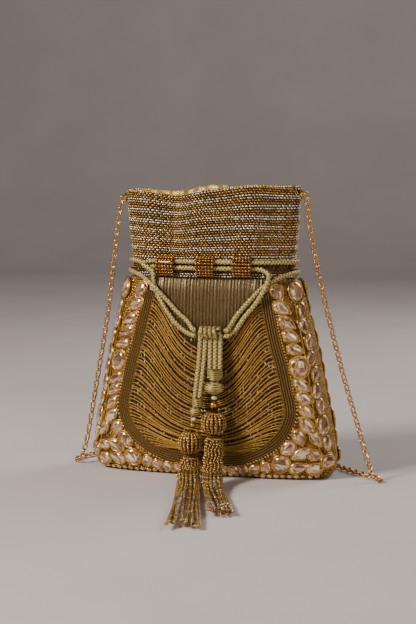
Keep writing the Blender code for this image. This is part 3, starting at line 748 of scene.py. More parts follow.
def braid(along, angle):
    """The lumps of a flat braid: strands cross it both ways."""
    phase = TURN * along / 4.2
    return 0.87 + 0.17 * np.maximum(np.cos(3 * angle - phase), np.cos(3 * angle + phase))


def twist(pitch, depth=0.16):
    """The lumps of a twisted cord."""
    return lambda along, angle: 1 - depth + depth * np.cos(2 * angle - TURN * along / pitch)


def colour(name):
    return tuple(getattr(bpy.context.scene.potli_colours, name))


def sizes():
    return bpy.context.scene.potli_sizes


FINISHES = {}


def finish(name):
    """One of the bag's finishes, mixed the first time that it is asked for."""
    if name not in FINISHES:
        gold, silver = colour("gold"), colour("silver")
        # for the drawcord, thread, zari and strand finishes the darker colour is painted shade between the strands;
        # for satin, pearl and board it is painted shade in the creases; the crystal's darker colour is partly the
        # stone's deeper tone and partly painted shade on its facets
        make, *values = {
            "beads": (beads_finish, "gold and silver glass beads", colour("amber"), gold, silver),
            "amber": (beads_finish, "amber beads", (0.10, 0.04, 0.008), (0.40, 0.18, 0.028), gold, 0.2, 0.75),
            "bugles": (beads_finish, "tassel beads", (0.13, 0.06, 0.012), (0.46, 0.27, 0.07), silver, 0.22),
            "crystal": (crystal_finish, "peach crystal", colour("crystal"), (0.30, 0.13, 0.055)),
            "bezel": (metal_finish, "gold bezel", colour("bezel"), 0.22),
            "chain": (metal_finish, "rose gold chain", colour("chain"), 0.2),
            "drawcord": (cord_finish, "khaki gold braid", colour("cord"), (0.10, 0.075, 0.02), 2.2, 3),
            "thread": (cord_finish, "wound khaki thread", (0.46, 0.345, 0.11), (0.10, 0.065, 0.018), 1.5, 3),
            "zari": (cord_finish, "bronze zari coil", (0.22, 0.12, 0.03), (0.035, 0.018, 0.005), 1.0, 1, 0.7,
                     0.36),
            "strand": (cord_finish, "gold swag strand", (0.50, 0.275, 0.05), (0.20, 0.095, 0.015), 1.6, 1, 0.8,
                       0.28),
            "tissue": (tissue_finish, "champagne striped tissue", (0.30, 0.22, 0.11), (0.07, 0.045, 0.016), 24),
            "veil": (tissue_finish, "sheer gold tissue", (0.145, 0.092, 0.028), (0.022, 0.013, 0.004), 10),
            "backing": (tissue_finish, "dark backing net", (0.07, 0.045, 0.018), (0.02, 0.012, 0.005), 30),
            "satin": (satin_finish, "pale gold satin", colour("satin"), (0.30, 0.175, 0.035)),
            "pearl": (satin_finish, "pearl", (0.80, 0.74, 0.60), (0.62, 0.54, 0.40)),
            "board": (satin_finish, "grey board", (0.45, 0.42, 0.38), (0.33, 0.31, 0.28)),
        }[name]
        FINISHES[name] = make(*values)
    return FINISHES[name]


# ---------------------------------------------------------------- one operator for each group of like pieces
class Making:
    """What every operator here shares."""

    bl_options = {"REGISTER", "UNDO"}

    def execute(self, context):
        fresh()
        self.make()
        return {"FINISHED"}


class POTLI_OT_stage(Making, bpy.types.Operator):
    """Lays the pale floor and sets the soft studio lights and the camera"""

    bl_idname = "potli.stage"
    bl_label = "Stage"

    def make(self):
        bpy.ops.mesh.primitive_grid_add(x_subdivisions=2, y_subdivisions=60, size=7)
        floor = bpy.context.object
        sweep, radius = 2, 0.8  # the floor sweeps up behind into a backdrop
        for vertex in floor.data.vertices:
            past = vertex.co.y - sweep
            if past > 0:
                turn = min(past / radius, math.pi / 2)
                vertex.co.z = radius * (1 - math.cos(turn)) + max(past - radius * math.pi / 2, 0)
                vertex.co.y = sweep + radius * math.sin(turn)
        floor.name = "floor"
        pale = Finish("pale matt floor", (0.66, 0.60, 0.58), 0.62)
        pale.put("Base Color", pale.ramp(pale.noise(pale.place(), 0.004), (0.3, (0.60, 0.55, 0.53)),
                                         (0.7, (0.66, 0.61, 0.59))))
        floor.data.materials.append(pale.material)
        floor.data.shade_smooth()
        for name, place, aim, size, power, tone in (
                ("key", (-0.85, -0.95, 0.95), 0.1, 0.40, 27, (1.0, 0.94, 0.87)),
                ("fill", (1.3, -1.2, 0.6), 0.1, 1.0, 6, (1.0, 0.95, 0.92)),
                ("rim", (0.7, 0.9, 0.9), 0.12, 0.6, 9, (1.0, 0.96, 0.92))):
            x, y, z = place
            bpy.ops.object.light_add(type="AREA", location=place, rotation=(
                math.atan2(math.hypot(x, y), z - aim), 0, math.atan2(x, -y)))
            light = bpy.context.object
            light.name = name
            light.data.size = size
            light.data.energy = power
            light.data.color = tone
        world = bpy.data.worlds.new("studio")
        world.use_nodes = True
        sky = world.node_tree.nodes["Background"].inputs
        sky["Color"].default_value = (0.50, 0.46, 0.45, 1)
        sky["Strength"].default_value = 0.30
        bpy.context.scene.world = world
        bpy.ops.object.camera_add(location=(0.3098, -1.1009, 0.2366),
                                  rotation=(math.radians(84.3), 0, math.radians(16)))
        camera = bpy.context.object
        camera.data.lens = 86.54
        camera.data.sensor_width = 36
        bpy.context.scene.camera = camera


class POTLI_OT_cords(Making, bpy.types.Operator):
    """Winds the two braided drawcords, their knot and the five tails"""

    bl_idname = "potli.cords"
    bl_label = "Drawcords and tails"

    def make(self):
        width = sizes().cord_width
        x, y, z = KNOT_CENTRE
        ends = np.array([x - KNOT_HALF, x + KNOT_HALF])
        turns = np.linspace(0, 1, 220)
        spin = TURN * KNOT_WINDS * turns
        across = ends[0] + 1.6 * MM + (ends[1] - ends[0] - 3.2 * MM) * turns
        wound = np.stack([across, y + KNOT_REACH * np.cos(spin), z + KNOT_REACH * np.sin(spin)], axis=1)
        core = np.linspace([ends[0], y, z], [ends[1], y, z], 12)
        knot = tubes([wound, core], CORD_RADIUS, sides=10, guide=UP, relief=braid)
        finished(knot, "drawcord_wrap", "drawcord", "drawcord", ["drawcord_knot"])
        for side, route in (("left", left_drawcord()), ("right", right_drawcord())):
            cord = self.cord(route, 0.56 * width, 0.40 * width, f"drawcord_braid_{side}", f"drawcord_{side}")
            path = smooth_line(route, 4 * MM)
            length_of(path)
        y /= MM
        for number, (top, end, low) in enumerate(TAILS, 1):
            side = "left" if number < 3 else "right"
            route = np.array(((top, y, 110), (top, y, 105), (0.7 * top + 0.3 * end, y - 0.6, 63 + 0.4 * low),
                              (end, TASSEL_Y + 3, low + 0.6), (end, TASSEL_Y + 2.6, low - 7))) * MM
            tail = self.cord(route, 0.55 * width, 0.42 * width, f"tail_braid_{number}", f"tail_cord_{number}")
            tuple(route[0])
            length_of(smooth_line(route, BRAID_STEP))
            smooth_line(route, 3 * MM)

    def cord(self, route, wide, high, name, node):
        """A braided cord along a route."""
        made = tubes([smooth_line(route, BRAID_STEP)], wide, high, sides=12, relief=braid)
        return finished(made, name, "drawcord", "drawcord", [node])


class POTLI_OT_chain(Making, bpy.types.Operator):
    """Links the sling chain along its route, ring to ring"""

    bl_idname = "potli.chain"
    bl_label = "Sling chain"

    def make(self):
        route = np.array(CHAIN_ROUTE) * MM
        line = smooth_line(route, sizes().link_pitch)
        places = []
        for k, (point, ahead) in enumerate(zip(line, headings(line))):
            flat = unit(np.cross(ahead, [0.15, -1.0, 0.25] if point[2] > 9 * MM else [0.02, 0.03, 1.0]))
            lean = LINK_LEAN if k % 2 else -LINK_LEAN
            side = flat * math.cos(lean) + np.cross(ahead, flat) * math.sin(lean)
            places.append(placed((point, ahead, side, np.cross(ahead, side)), *(size * MM for size in LINK_SIZE)))
        chain = finished(scatter(link(), places), "chain_links", "chain", "chain_metal", ["sling_chain"])
        path = smooth_line(route, 6 * MM)
        length_of(path)
        for side in ("left", "right"):
            dress(f"chain_ring_{side}", "bezel")


def dress(node, shade):
    """Gives its finish to a node of the model that stays in view."""
    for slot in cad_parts[node].material_slots:
        slot.material = finish(shade)


class POTLI_OT_pouch(Making, bpy.types.Operator):
    """Raises the striped tissue body, its base, and the satin lining"""

    bl_idname = "potli.pouch"
    bl_label = "Pouch and lining"

    def make(self):
        body = cloth_grid(180, 48, lambda u, v: skin(u, POUCH_FOOT + (POUCH_TOP - POUCH_FOOT) * v), wall=1.8 * MM)
        finished(body, "pouch_body", "tissue", "gold_tissue",
                 ["front_panel", "back_panel", "left_gusset", "right_gusset"])
        dress("base_panel", "tissue")
        dress("base_board", "board")
        rng = np.random.default_rng(7)
        creases = [(rng.integers(9, 46), rng.uniform(0, 6.3), rng.uniform(0.14, 0.40), rng.uniform(-90, 90))
                   for _ in range(9)]

        def place(u, v):
            """The floor takes the first tenth of the cloth; the rest climbs to the rim."""
            if v < 0.1:
                foot = skin(u, LINING_FLOOR, -5.2 * MM)
                return np.array([foot[0] * v * 10, foot[1] * v * 10, LINING_FLOOR])
            rise = (v - 0.1) / 0.9
            puff = 0.8 * (1 - math.cos(TURN * u)) * math.exp(-(((u - 0.53) / 0.10) ** 2))
            top = rim_height(u) + (0.3 + puff + 0.4 * math.sin(u * 150)) * MM
            height = LINING_FLOOR + (top - LINING_FLOOR) * rise
            slack = LINING_SLACK - 1.9 * min(max((height - 149 * MM) / (16 * MM), 0), 1)
            wrinkle = sum(depth * (1 + math.sin(TURN * (wide * u) + start + slope * height))
                          for wide, start, depth, slope in creases)
            return skin(u, height, -(slack + wrinkle * (0.35 + 0.65 * rise)) * MM)

        lining = cloth_grid(216, 60, place, wall=0.4 * MM)
        finished(lining, "satin_lining", "satin", "satin", ["lining"])


class POTLI_OT_frill(Making, bpy.types.Operator):
    """Gathers the frill cloth and sews on its rows of beads, the picot rim and the drawcord loops"""

    bl_idname = "potli.frill"
    bl_label = "Beaded frill"

    def make(self):
        cloth = cloth_grid(216, 36, lambda u, v: skin(u, FRILL_FOOT + (rim_height(u) - FRILL_FOOT) * v, -0.5 * MM),
                           wall=0.9 * MM)
        finished(cloth, "frill_cloth", "backing", "bugle_beads", ["neck_band"])
        rng = np.random.default_rng(11)
        front, back = self.rows(rng)
        rim = []
        for k in range(RIM_BEADS):
            turn = k / RIM_BEADS
            axes = skin_axes(turn, rim_height(turn) + 0.4 * MM, -0.3 * MM)
            size = sizes().bead_width * rng.uniform(1.0, 1.3)
            rim.append((placed(axes, size, size * 1.1, size), rng.uniform(0.35, 0.95)))
        pieces = [sewn(f"frill_beads_{name}", round_bead(rings=3), beads, "beads", "bugle_beads")
                  for name, beads in (("front", front), ("back", back), ("rim", rim))]
        beads = []
        straps = [self.keeper(turn, beads, rng) for turn in KEEPER_TURNS]
        finished(joined(straps), "keeper_straps", "amber", "amber_beads")
        sewn("keeper_beads", round_bead(), beads, "amber", "amber_beads",
             [f"cord_loop_{n}" for n in range(1, len(KEEPER_TURNS) + 1)])

    def rows(self, rng):
        """The beads of the frill's rows, gold and silver in turn: those in front, and those at the back."""
        s = sizes()
        rows = round((FRILL_TOP - FRILL_FOOT) / s.bead_pitch)
        front, back = [], []
        for row in range(rows):
            share = (row + 0.5) / rows
            count = int(girth(FRILL_FOOT + 60 * MM * share) / (s.bead_length * 1.06))
            for k in range(count):
                turn = (k + 0.5 * (row % 2) + rng.uniform(-0.12, 0.12)) / count
                drift = 0.5 * MM * math.sin(TURN * turn * 3 + row * 0.35)
                height = FRILL_FOOT + (rim_height(turn) - FRILL_FOOT) * share + drift * share
                point, along, up, out = skin_axes(turn, height, 0.15 * MM)
                lean = rng.normal(0, 0.05)
                gap = np.linalg.norm(skin(turn + 0.5 / count, height) - skin(turn - 0.5 / count, height))
                length = min(max(s.bead_length * rng.uniform(0.9, 1.06), 0.96 * gap), 1.7 * s.bead_length)
                axes = point, along + up * lean, up - along * lean, out
                tone = (0.92, 0.46, 0.38, 0.78)[row % 4] + 0.10 * math.sin(TURN * turn * 3 + row * 1.3)
                if share < 0.2:  # the rows drawn into the neck
                    tone = 0.16 if row > 1 else 0.86
                in_front = turn % 1 < 0.25 or turn % 1 > 0.75
                (front if in_front else back).append((placed(axes, length, s.bead_width, s.bead_width),
                                                      tone + rng.normal(0, 0.10)))
        return front, back

    def keeper(self, turn, beads, rng):
        """Arches one drawcord loop over the cords: returns its strap and adds its beads."""
        centre = skin(turn, KEEPER_MIDDLE)
        along = unit(skin(turn + 0.005, KEEPER_MIDDLE) - skin(turn - 0.005, KEEPER_MIDDLE))
        out = np.array([along[1], -along[0], 0])
        share = 6.5 * MM / np.linalg.norm(skin(turn + 0.01, KEEPER_MIDDLE) - centre) * 0.01
        under = [skin(turn + d * share, KEEPER_MIDDLE + k * 7 * MM) for d in (-1, 0, 1) for k in (-1, 0, 1)]
        base = max(float(np.dot(point - centre, out)) for point in under) + 0.3 * MM

        def arch(place, angle, lift=0.0):
            """A point of the loop: angle 0 at its foot, pi at its head."""
            return (centre + along * place + out * (base + (4.9 * MM + lift) * math.sin(angle) ** 0.8)
                    - np.array([0, 0, (6.9 * MM + lift) * math.cos(angle)]))

        for row in range(KEEPER_ROWS):
            angle = math.pi * (row + 0.5) / KEEPER_ROWS
            for column in range(KEEPER_COLUMNS):
                place = (column + 0.5 - KEEPER_COLUMNS / 2) * KEEPER_BEAD * MM * (1 - 0.10 * math.cos(angle) ** 2)
                ahead = unit(arch(place, angle + 0.05) - arch(place, angle - 0.05))
                axes = arch(place, angle, 0.5 * MM), along, ahead, unit(np.cross(along, ahead))
                beads.append((placed(axes, KEEPER_BEAD * MM, 1.95 * MM, 1.9 * MM), rng.uniform(0.2, 0.62)))
        return cloth_grid(6, 16, lambda u, v: arch((u - 0.5) * 13.6 * MM, math.pi * v), closed=False,
                          wall=0.6 * MM)


def border_edge(z):
    """Half the width inside the zari border at a height in millimetres."""
    line = np.array(ZARI_LINE[-2::-1])
    return float(np.interp(z, line[:, 1], line[:, 0])) - 4.4


def beside(line, shift):
    """A line in x and height moved sideways by a distance, outwards from the middle of the front."""
    return line + headings(line)[:, ::-1] * (shift, -shift)


def mirrored(line):
    """The right half of a line about the front's middle, joined to its mirror."""
    line = np.array(line, float)
    return np.vstack([line * (-1, 1), line[-2::-1]])


def laid(line, lift):
    """A line in x and height laid on the front, lifted off the cloth."""
    return np.array([on_front(x * MM, z * MM, lift * MM) for x, z in line])


class POTLI_OT_embroidery(Making, bpy.types.Operator):
    """Couches the zari border, its dotted beads, the swagged strands, the beaded ground and the tissue veil"""

    bl_idname = "potli.embroidery"
    bl_label = "Zari border and swags"

    def make(self):
        rng = np.random.default_rng(23)
        spine = smooth_line(mirrored(ZARI_LINE), 0.55)
        finished(tubes([laid(spine, 1.15)], 5.2 * MM, 0.4 * MM), "zari_bed", "backing", "zari_cord")
        net = cloth_grid(60, 60, self.net, closed=False, wall=0.25 * MM)
        finished(net, "swag_ground", "backing", "swag_strands")
        self.border(spine, rng)
        self.swags(rng)
        self.ground(rng)
        veil = cloth_grid(150, 20, self.veil, closed=False, wall=0.3 * MM)
        finished(veil, "tissue_veil", "veil", "gold_tissue")

    def net(self, u, v):
        """A point of the dark net behind the strands."""
        z = SWAG_FOOT + SWAG_RISE * v
        return on_front((2 * u - 1) * (border_edge(z) + 1) * MM, z * MM, 0.35 * MM)

    def border(self, spine, rng):
        """The coils of the zari border, a row of dots outside them and stitches inside."""
        coils = tubes([laid(beside(spine, shift), 1.9) for shift in COIL_SHIFTS], 0.78 * MM, sides=7,
                      relief=twist(2.3, depth=0.26))
        finished(coils, "zari_coils", "zari", "zari_cord", ["zari_border"])
        dots = [(placed(face_axes(x * MM, z * MM, 2.1 * MM), 2 * MM), rng.uniform(0.45, 0.72))
                for x, z in beside(smooth_line(mirrored(ZARI_LINE), 2.3), 5.2)]
        sewn("dotted_border", round_bead(), dots, "beads", "zari_cord", smooth=True)
        stitches = []
        line = smooth_line(mirrored(ZARI_LINE), 1.7)
        for (x, z), slope in zip(beside(line, -4.7), headings(line)):
            point, along, up, out = face_axes(x * MM, z * MM, 1.8 * MM)
            across = along * slope[1] - up * slope[0]
            axes = point, across, np.cross(out, across), out
            stitches.append((placed(axes, 2.3 * MM, 0.8 * MM, 0.9 * MM), rng.uniform(0.3, 0.6)))
        sewn("border_stitches", round_bead(rings=3), stitches, "beads", "zari_cord")

    def swags(self, rng):
        """Gold strands across the front, from border to border, each hanging in a swag."""
        count = sizes().strands
        strands = []
        for k in range(count):
            start = 136 - 114 * k / (count - 1) + rng.normal(0, 0.35)
            half = border_edge(start) + 0.4
            middle = float(np.interp(start, *SWAG_DIP)) + rng.normal(0, 0.6)
            line = []
            for u in np.linspace(-1, 1, 41):
                inward = 1 - abs(u)
                z = start + (middle - start) * inward ** 1.6 / (inward ** 1.6 + 0.42 * abs(u) ** 1.5)
                x = u * half + 1.2 * inward
                x = math.copysign(min(abs(x), max(border_edge(z) + 0.4, 6)), x)
                lift = 1.9 + math.sin(math.pi * min(inward * 1.4, 1))
                line.append(on_front(x * MM, z * MM, lift * MM))
            strands.append(smooth_line(line, 1.6 * MM))
        swags = tubes(strands, sizes().strand_width * 0.5, sides=5)
        finished(swags, "swag_strands", "strand", "swag_strands", ["swag_fringe"])

    def ground(self, rng):
        """The beads that glint on the net, between the strands."""
        beads = []
        for x in np.arange(-62, 62.1, 2.7):
            for z in np.arange(SWAG_FOOT, 150, 2.35):
                z = z + rng.uniform(-0.3, 0.3)
                if abs(x) < border_edge(z) and z < 150:
                    point, along, up, out = face_axes(x * MM, z * MM, 0.5 * MM)
                    tone = rng.choice([0.0, 0.2, 0.74, 0.95], p=[0.52, 0.22, 0.16, 0.10]) + rng.normal(0, 0.05)
                    beads.append((placed((point, up, along, out), 2.2 * MM, 1.5 * MM, 1.2 * MM), tone))
        sewn("ground_beads", round_bead(rings=3), beads, "beads", "swag_strands")

    def veil(self, u, v):
        """A point of the pleated tissue that hangs from the neck, longest in the middle."""
        x = -41.5 + 84 * u
        bottom = 101 + 36 * (abs(x - 2) / 42) ** 1.6
        z = bottom + (150.6 - bottom) * v
        pleat = (0.30 * math.sin(TURN * x / 2.3 + 0.5 * math.sin(z * 0.09 + x * 0.3))
                 + 0.28 * math.sin(x * 1.37 + 0.8 * math.sin(x * 0.41)))
        return on_front(x * MM, min(z, 150) * MM, (3.1 + pleat - 1.3 * (1 - v) ** 3) * MM)


class POTLI_OT_crystals(Making, bpy.types.Operator):
    """Sets the crystals in their gold bezels down the sides and along the hem, with small stones between"""

    bl_idname = "potli.crystals"
    bl_label = "Crystal borders"

    def make(self):
        rng = np.random.default_rng(31)
        for side, name in ((-1, "front"), (1, "back")):
            stones = self.stones(side, rng)
            crystals = joined([scatter(crystal(cut), places, facets=41 + len(cut))
                               for cut, places in stones.items()])
            finished(crystals, f"crystals_{name}", "crystal", "crystal", [f"stone_border_{name}"], smooth=False)
            bezels = joined([scatter(bezel(cut), places) for cut, places in stones.items()])
            finished(bezels, f"bezels_{name}", "bezel", "bezel_gold")
        self.seeds(rng)
        seams = []
        for mirror in (-1, 1):
            for side in (-1, 1):
                heights = np.arange(1.5, 146, 0.6)
                seams.append(np.array([skin(self.corner(z, 0.90 + 0.02 * z / 150, mirror, side), z * MM, 1.6 * MM)
                                       for z in heights]))
        cord = tubes(seams, 0.9 * MM, sides=7, relief=twist(2.2))
        finished(cord, "corner_cords", "bezel", "bezel_gold")

    def corner(self, z, share, mirror, side):
        """Where on the turn one of the four corners reaches a share of the half width."""
        turn = turn_for(z * MM, share)
        return mirror * (turn if side < 0 else 0.5 - turn)

    def stones(self, side, rng):
        """Where the stones of the front (side -1) or the back (side 1) sit, by their cut."""
        found = {"pear": [], "oval": [], "round": [], "marquise": []}
        for mirror in (1, -1):
            for x, z, cut, length, width, slope in FRONT_STONES:
                nudge = rng.normal(0, 0.35, 3) if mirror < 0 else (0, 0, 0)
                axes = face_axes(mirror * (x + nudge[0]) * MM, (z + nudge[1]) * MM, 1.0 * MM, side)
                found[cut].append(setting(axes, -mirror * side, slope + 12 * nudge[2], length, width))
            for share, z, cut, length, width, slope in SIDE_STONES:
                axes = skin_axes(self.corner(z, share, mirror, side), z * MM, 0.9 * MM)
                found[cut].append(setting(axes, -mirror * side, slope, length, width))
        for x in range(-86, 87, 5):
            if abs(x) > 2:
                size = rng.uniform(3.2, 4.4)
                axes = face_axes(x * MM, rng.uniform(2.4, 3.2) * MM, 1.0 * MM, side)
                found["round"].append(setting(axes, 1, rng.uniform(0, 90), size, size))
        for x, z in beside(smooth_line(mirrored(ZARI_LINE), 9.3), 7.3):
            axes = face_axes(x * MM, z * MM, 1.0 * MM, side)
            found["round"].append(setting(axes, 1, rng.uniform(0, 90), 3.0, 3.0))
        return found

    def seeds(self, rng):
        """Seed beads that fill the cloth between the stones."""
        pitch = 1.9 / 460  # a bead's step, as a share of the girth
        beads = []
        for side in (-1, 1):
            for mirror in (-1, 1):
                for z in np.arange(2, 148, 1.55):
                    inner = border_edge(z) + 11.2 if z > 16 else 0
                    first = turn_for(z * MM, min(inner / (outline(z * MM)[0] / MM), 0.99))
                    for turn in np.arange(first, 0.25, pitch):
                        turn = turn + rng.uniform(-0.6, 0.6) / 460
                        turn = mirror * (turn if side < 0 else 0.5 - turn)
                        axes = skin_axes(turn, (z + rng.uniform(-0.5, 0.5)) * MM, 0.4 * MM)
                        size = rng.uniform(1.3, 2.0) * MM
                        beads.append((placed(axes, size * 1.3, size, size), rng.uniform(0.15, 0.66)))
        sewn("border_seed_beads", round_bead(segments=5, rings=3), beads, "beads", "bezel_gold")


def setting(axes, hand, slope, length, width):
    """Where a stone sits: its pointed end lies at the slope, and a left-hand one is mirrored."""
    point, along, up, out = axes
    angle = math.radians(slope)
    ahead = along * math.cos(angle) * hand + up * math.sin(angle)
    grown = sizes().crystal_growth if length > 5 else 1
    axes = point, ahead, np.cross(out, ahead), out
    return placed(axes, length * grown * MM, width * grown * MM, 0.50 * width * MM)


def lathe(x, y, z_low, z_high, radius, profile, relief=None, sides=24, steps=18):
    """A turned form up a vertical axis: profile(share) gives the radius from its foot to its head."""
    line = np.stack([np.full(steps, x), np.full(steps, y), np.linspace(z_low, z_high, steps)], axis=1) * MM
    return tubes([line], radius * MM, sides=sides, guide=FORWARD, relief=relief, taper=profile)


def ball(share):
    """A round profile with blunt poles."""
    return max(math.sqrt(max(1 - (2 * share - 1) ** 2, 0)), 0.34)


class POTLI_OT_tassels(Making, bpy.types.Operator):
    """Builds both tassels: thread wrap, wound ball, pearl, metal bead, ribbed head and strung skirt"""

    bl_idname = "potli.tassels"
    bl_label = "Tassels"

    def make(self):
        ribs = lambda along, angle: 0.9 + 0.1 * np.abs(np.cos(5 * angle)) + 0 * along
        rounds = lambda along, angle: 0.88 + 0.12 * np.abs(np.cos(math.pi * along / 0.95 + angle / 2))
        wound = lambda along, angle: 0.92 + 0.10 * np.abs(np.cos(4 * angle + along * 1.1)
                                                          * np.cos(4 * angle - along * 1.1))
        rng = np.random.default_rng(53)
        for side, x, wrap, ball_at, pearl, bead, head, skirt in (
                ("left", (-2.7, -4.3, -5.1, -5.6, -7.5), (55.5, 62, 4.3), (48.1, 54.8, 4.4), (44.4, 47.3, 2.0),
                 (39.4, 43.7, 2.4), (19.1, 37.8, 9.8), LEFT_SKIRT),
                ("right", (10.7,) * 5, (75.6, 84, 6.0), (65.2, 74.8, 7.6), (61, 64.2, 2.2), (54.6, 60.2, 3.1),
                 (34.7, 53, 10.0), RIGHT_SKIRT)):
            for made, name, shade, slot, node in (
                    (lathe(x[0], TASSEL_Y + 3, *wrap, lambda t: 0.70 + (1 - 0.70) * t, rounds, 20, 60),
                     "bound", "thread", "thread_wrap", "wrap"),
                    (lathe(x[1], TASSEL_Y + 2, *ball_at, ball, wound, 32, 24),
                     "wound_ball", "thread", "thread_wrap", "ball"),
                    (lathe(x[2], TASSEL_Y + 1, *pearl, ball), "round_pearl", "pearl", "pearl", "pearl"),
                    (lathe(x[3], TASSEL_Y, *bead, ball, ribs, 30), "metal_bead", "bezel", "bezel_gold", "bead")):
                finished(made, f"tassel_{name}_{side}", shade, slot, [f"tassel_{node}_{side}"])
            self.head(side, x[4], head, rng)
            self.skirt(side, skirt, rng)

    def head(self, side, x, head, rng):
        """A melon of beaded ribs over a dark core."""
        low, high, radius = head
        middle, half = (low + high) / 2, (high - low) / 2
        core = lathe(x, TASSEL_Y, low, high, radius - 1.3, ball)
        finished(core, f"tassel_head_core_{side}", "amber", "tassel_beads", [f"tassel_head_{side}"])
        beads = []
        for rib in range(HEAD_RIBS):
            angle = TURN * rib / HEAD_RIBS
            out = np.array([math.cos(angle), math.sin(angle), 0])
            for k in range(RIB_BEADS):
                swing = math.radians(-76 + 152 * k / (RIB_BEADS - 1))
                reach = (radius - 1.1) * math.cos(swing) ** 0.8
                point = np.array([x, TASSEL_Y, middle + (half - 1.0) * math.sin(swing)]) + out * reach
                ahead = unit(np.array([0, 0, math.cos(swing)]) - out * math.sin(swing))
                face = unit(np.cross(np.cross(ahead, out), ahead))
                size = (2.15 * (0.62 + 0.38 * math.cos(swing)) + 0.35) * MM
                axes = point * MM, ahead, np.cross(face, ahead), face
                beads.append((placed(axes, 2.35 * MM, size, size), rng.uniform(0.25, 0.72)))
        sewn(f"tassel_melon_{side}", round_bead(segments=7), beads, "bugles", "tassel_beads", smooth=True)

    def skirt(self, side, stations, rng):
        """Strings of beads: twisted seed beads first, then long bugles, each string ending in a small loop."""
        spine = smooth_line(np.array(stations) * MM, 1.0 * MM)
        centre, wide, high = spine[:, :3], spine[:, 3], spine[:, 4]
        run = headings(centre)
        level = unit(np.cross(run, [0.0, 0.25, 1.0]))
        top = np.cross(level, run)
        settle = np.linspace(0, 1, len(centre))
        seeds, bugles = [], []
        for string in range(SKIRT_STRINGS):
            angle = TURN * (string + 0.25) / SKIRT_STRINGS
            sway = 0.8 * MM * np.sin(settle * 7 + string * 1.7) * settle
            rise = math.sin(angle) * high * (1 - 0.35 * settle) * 0.72
            line = centre + level * (math.cos(angle) * wide * 0.86 + sway)[:, None] + top * rise[:, None]
            line[:, 2] = np.maximum(line[:, 2], 1.15 * MM)
            reach = distances(line)
            end = reach[-1] * rng.uniform(0.93, 0.985)
            at, k = 0.0, 0
            while at < end - 3 * MM:
                is_seed = at < 0.5 * reach[-1] or k % 4 == 0
                length = (2.3 if is_seed else 6.2) * MM
                middle = at + length / 2
                point = point_at(line, reach, middle)
                ahead = unit(point_at(line, reach, middle + 0.7 * MM) - point_at(line, reach, middle - 0.7 * MM))
                across = unit(np.cross(ahead, [0.1, 0.3, 1.0]))
                face = np.cross(across, ahead)
                if is_seed:
                    point = point + 0.55 * MM * (across * math.cos(k * 1.5) + face * abs(math.sin(k * 1.5)))
                    axes = point, ahead, across, face
                    seeds.append((placed(axes, 2.5 * MM, 1.95 * MM, 1.95 * MM), rng.uniform(0.3, 0.72)))
                else:
                    axes = point, ahead, across, face
                    bugles.append((placed(axes, 6.1 * MM, 1.6 * MM, 1.6 * MM), rng.uniform(0.4, 0.85)))
                at += length * 0.97
                k += 1
            tip = point_at(line, reach, end)
            tip[2] = max(tip[2], 1.3 * MM)
            for petal in range(5):
                swing = TURN * petal / 5
                point = tip + (ahead * (1 + math.cos(swing)) + across * math.sin(swing) * 0.7) * 1.25 * MM
                point[2] = max(point[2], 1.1 * MM)
                seeds.append((placed((point, ahead, across, face), 1.4 * MM), rng.uniform(0.3, 0.7)))
        sewn(f"tassel_seed_strings_{side}", round_bead(), seeds, "bugles", "tassel_beads",
             [f"tassel_skirt_{side}"], smooth=True)
        sewn(f"tassel_bugle_strings_{side}", bugle_bead(), bugles, "bugles", "tassel_beads")


# ---------------------------------------------------------------- sizes, colours and the panel
def length_setting(name, description, millimetres):
    return bpy.props.FloatProperty(name=name, description=description, default=millimetres * MM, min=0.1 * MM,
                                   subtype="DISTANCE", unit="LENGTH", precision=4)


def colour_setting(name, description, colour):
    return bpy.props.FloatVectorProperty(name=name, description=description, default=colour, min=0, max=1, size=3,
                                         subtype="COLOR")


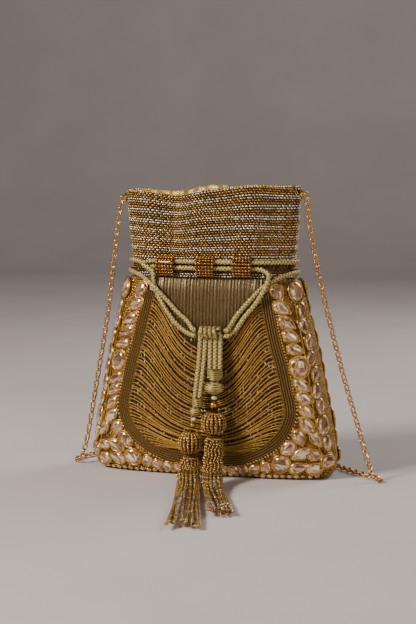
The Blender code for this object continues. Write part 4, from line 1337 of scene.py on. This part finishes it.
class PotliSizes(bpy.types.PropertyGroup):
    """Sizes of the bag's trimmings"""

    cord_width: length_setting("Cord width", "Width of the flat braided drawcord", 3.4)
    link_pitch: length_setting("Link pitch", "Distance from one chain link to the next", 4.3)
    bead_length: length_setting("Bead length", "Length of a bead in the frill's rows", 2.3)
    bead_width: length_setting("Bead width", "Thickness of a bead in the frill's rows", 1.62)
    bead_pitch: length_setting("Row pitch", "Distance from one row of beads to the next", 1.82)
    strand_width: length_setting("Strand width", "Thickness of a swagged strand", 0.9)
    crystal_growth: bpy.props.FloatProperty(
        name="Crystal size", description="Size of the crystals against their plan", default=1.16, min=0.5, max=1.5)
    strands: bpy.props.IntProperty(
        name="Strands", description="How many strands swag across the front", default=46, min=2)


class PotliColours(bpy.types.PropertyGroup):
    """Colours of the bag's trimmings"""

    gold: colour_setting("Gold bead", "Foil-lined gold glass", (0.50, 0.265, 0.045))
    silver: colour_setting("Silver bead", "Foil-lined silver glass", (0.60, 0.52, 0.43))
    amber: colour_setting("Dark bead", "The darkest beads", (0.075, 0.035, 0.008))
    crystal: colour_setting("Crystal", "Peach crystal", (0.72, 0.42, 0.19))
    bezel: colour_setting("Bezel", "Gold cups round the crystals", (0.62, 0.36, 0.06))
    chain: colour_setting("Chain", "Rose gold chain", (0.76, 0.42, 0.14))
    cord: colour_setting("Cord", "Khaki gold drawcord", (0.46, 0.345, 0.12))
    satin: colour_setting("Satin", "Pale gold lining", (0.80, 0.50, 0.10))


class VIEW3D_PT_potli(bpy.types.Panel):
    """The bag's pieces, sizes and colours"""

    bl_label = "Potli bag"
    bl_idname = "VIEW3D_PT_potli"
    bl_space_type = "VIEW_3D"
    bl_region_type = "UI"
    bl_category = "Potli"

    def draw(self, context):
        column = self.layout.column()
        for group in (context.scene.potli_sizes, context.scene.potli_colours):
            for name in group.__annotations__:
                column.prop(group, name)
        for operator in PIECES:
            column.operator(operator.bl_idname)


PIECES = (POTLI_OT_stage, POTLI_OT_tassels, POTLI_OT_cords, POTLI_OT_chain, POTLI_OT_pouch, POTLI_OT_frill,
          POTLI_OT_embroidery, POTLI_OT_crystals)
CLASSES = (PotliSizes, PotliColours, *PIECES, VIEW3D_PT_potli)


def register():
    for kind in CLASSES:
        bpy.utils.register_class(kind)
    bpy.types.Scene.potli_sizes = bpy.props.PointerProperty(type=PotliSizes)
    bpy.types.Scene.potli_colours = bpy.props.PointerProperty(type=PotliColours)


def unregister():
    del bpy.types.Scene.potli_sizes
    del bpy.types.Scene.potli_colours
    for kind in reversed(CLASSES):
        bpy.utils.unregister_class(kind)


def main():
    register()
    for operator in PIECES:
        getattr(bpy.ops.potli, operator.bl_idname.split(".")[1])()


if __name__ == "__main__":
    main()
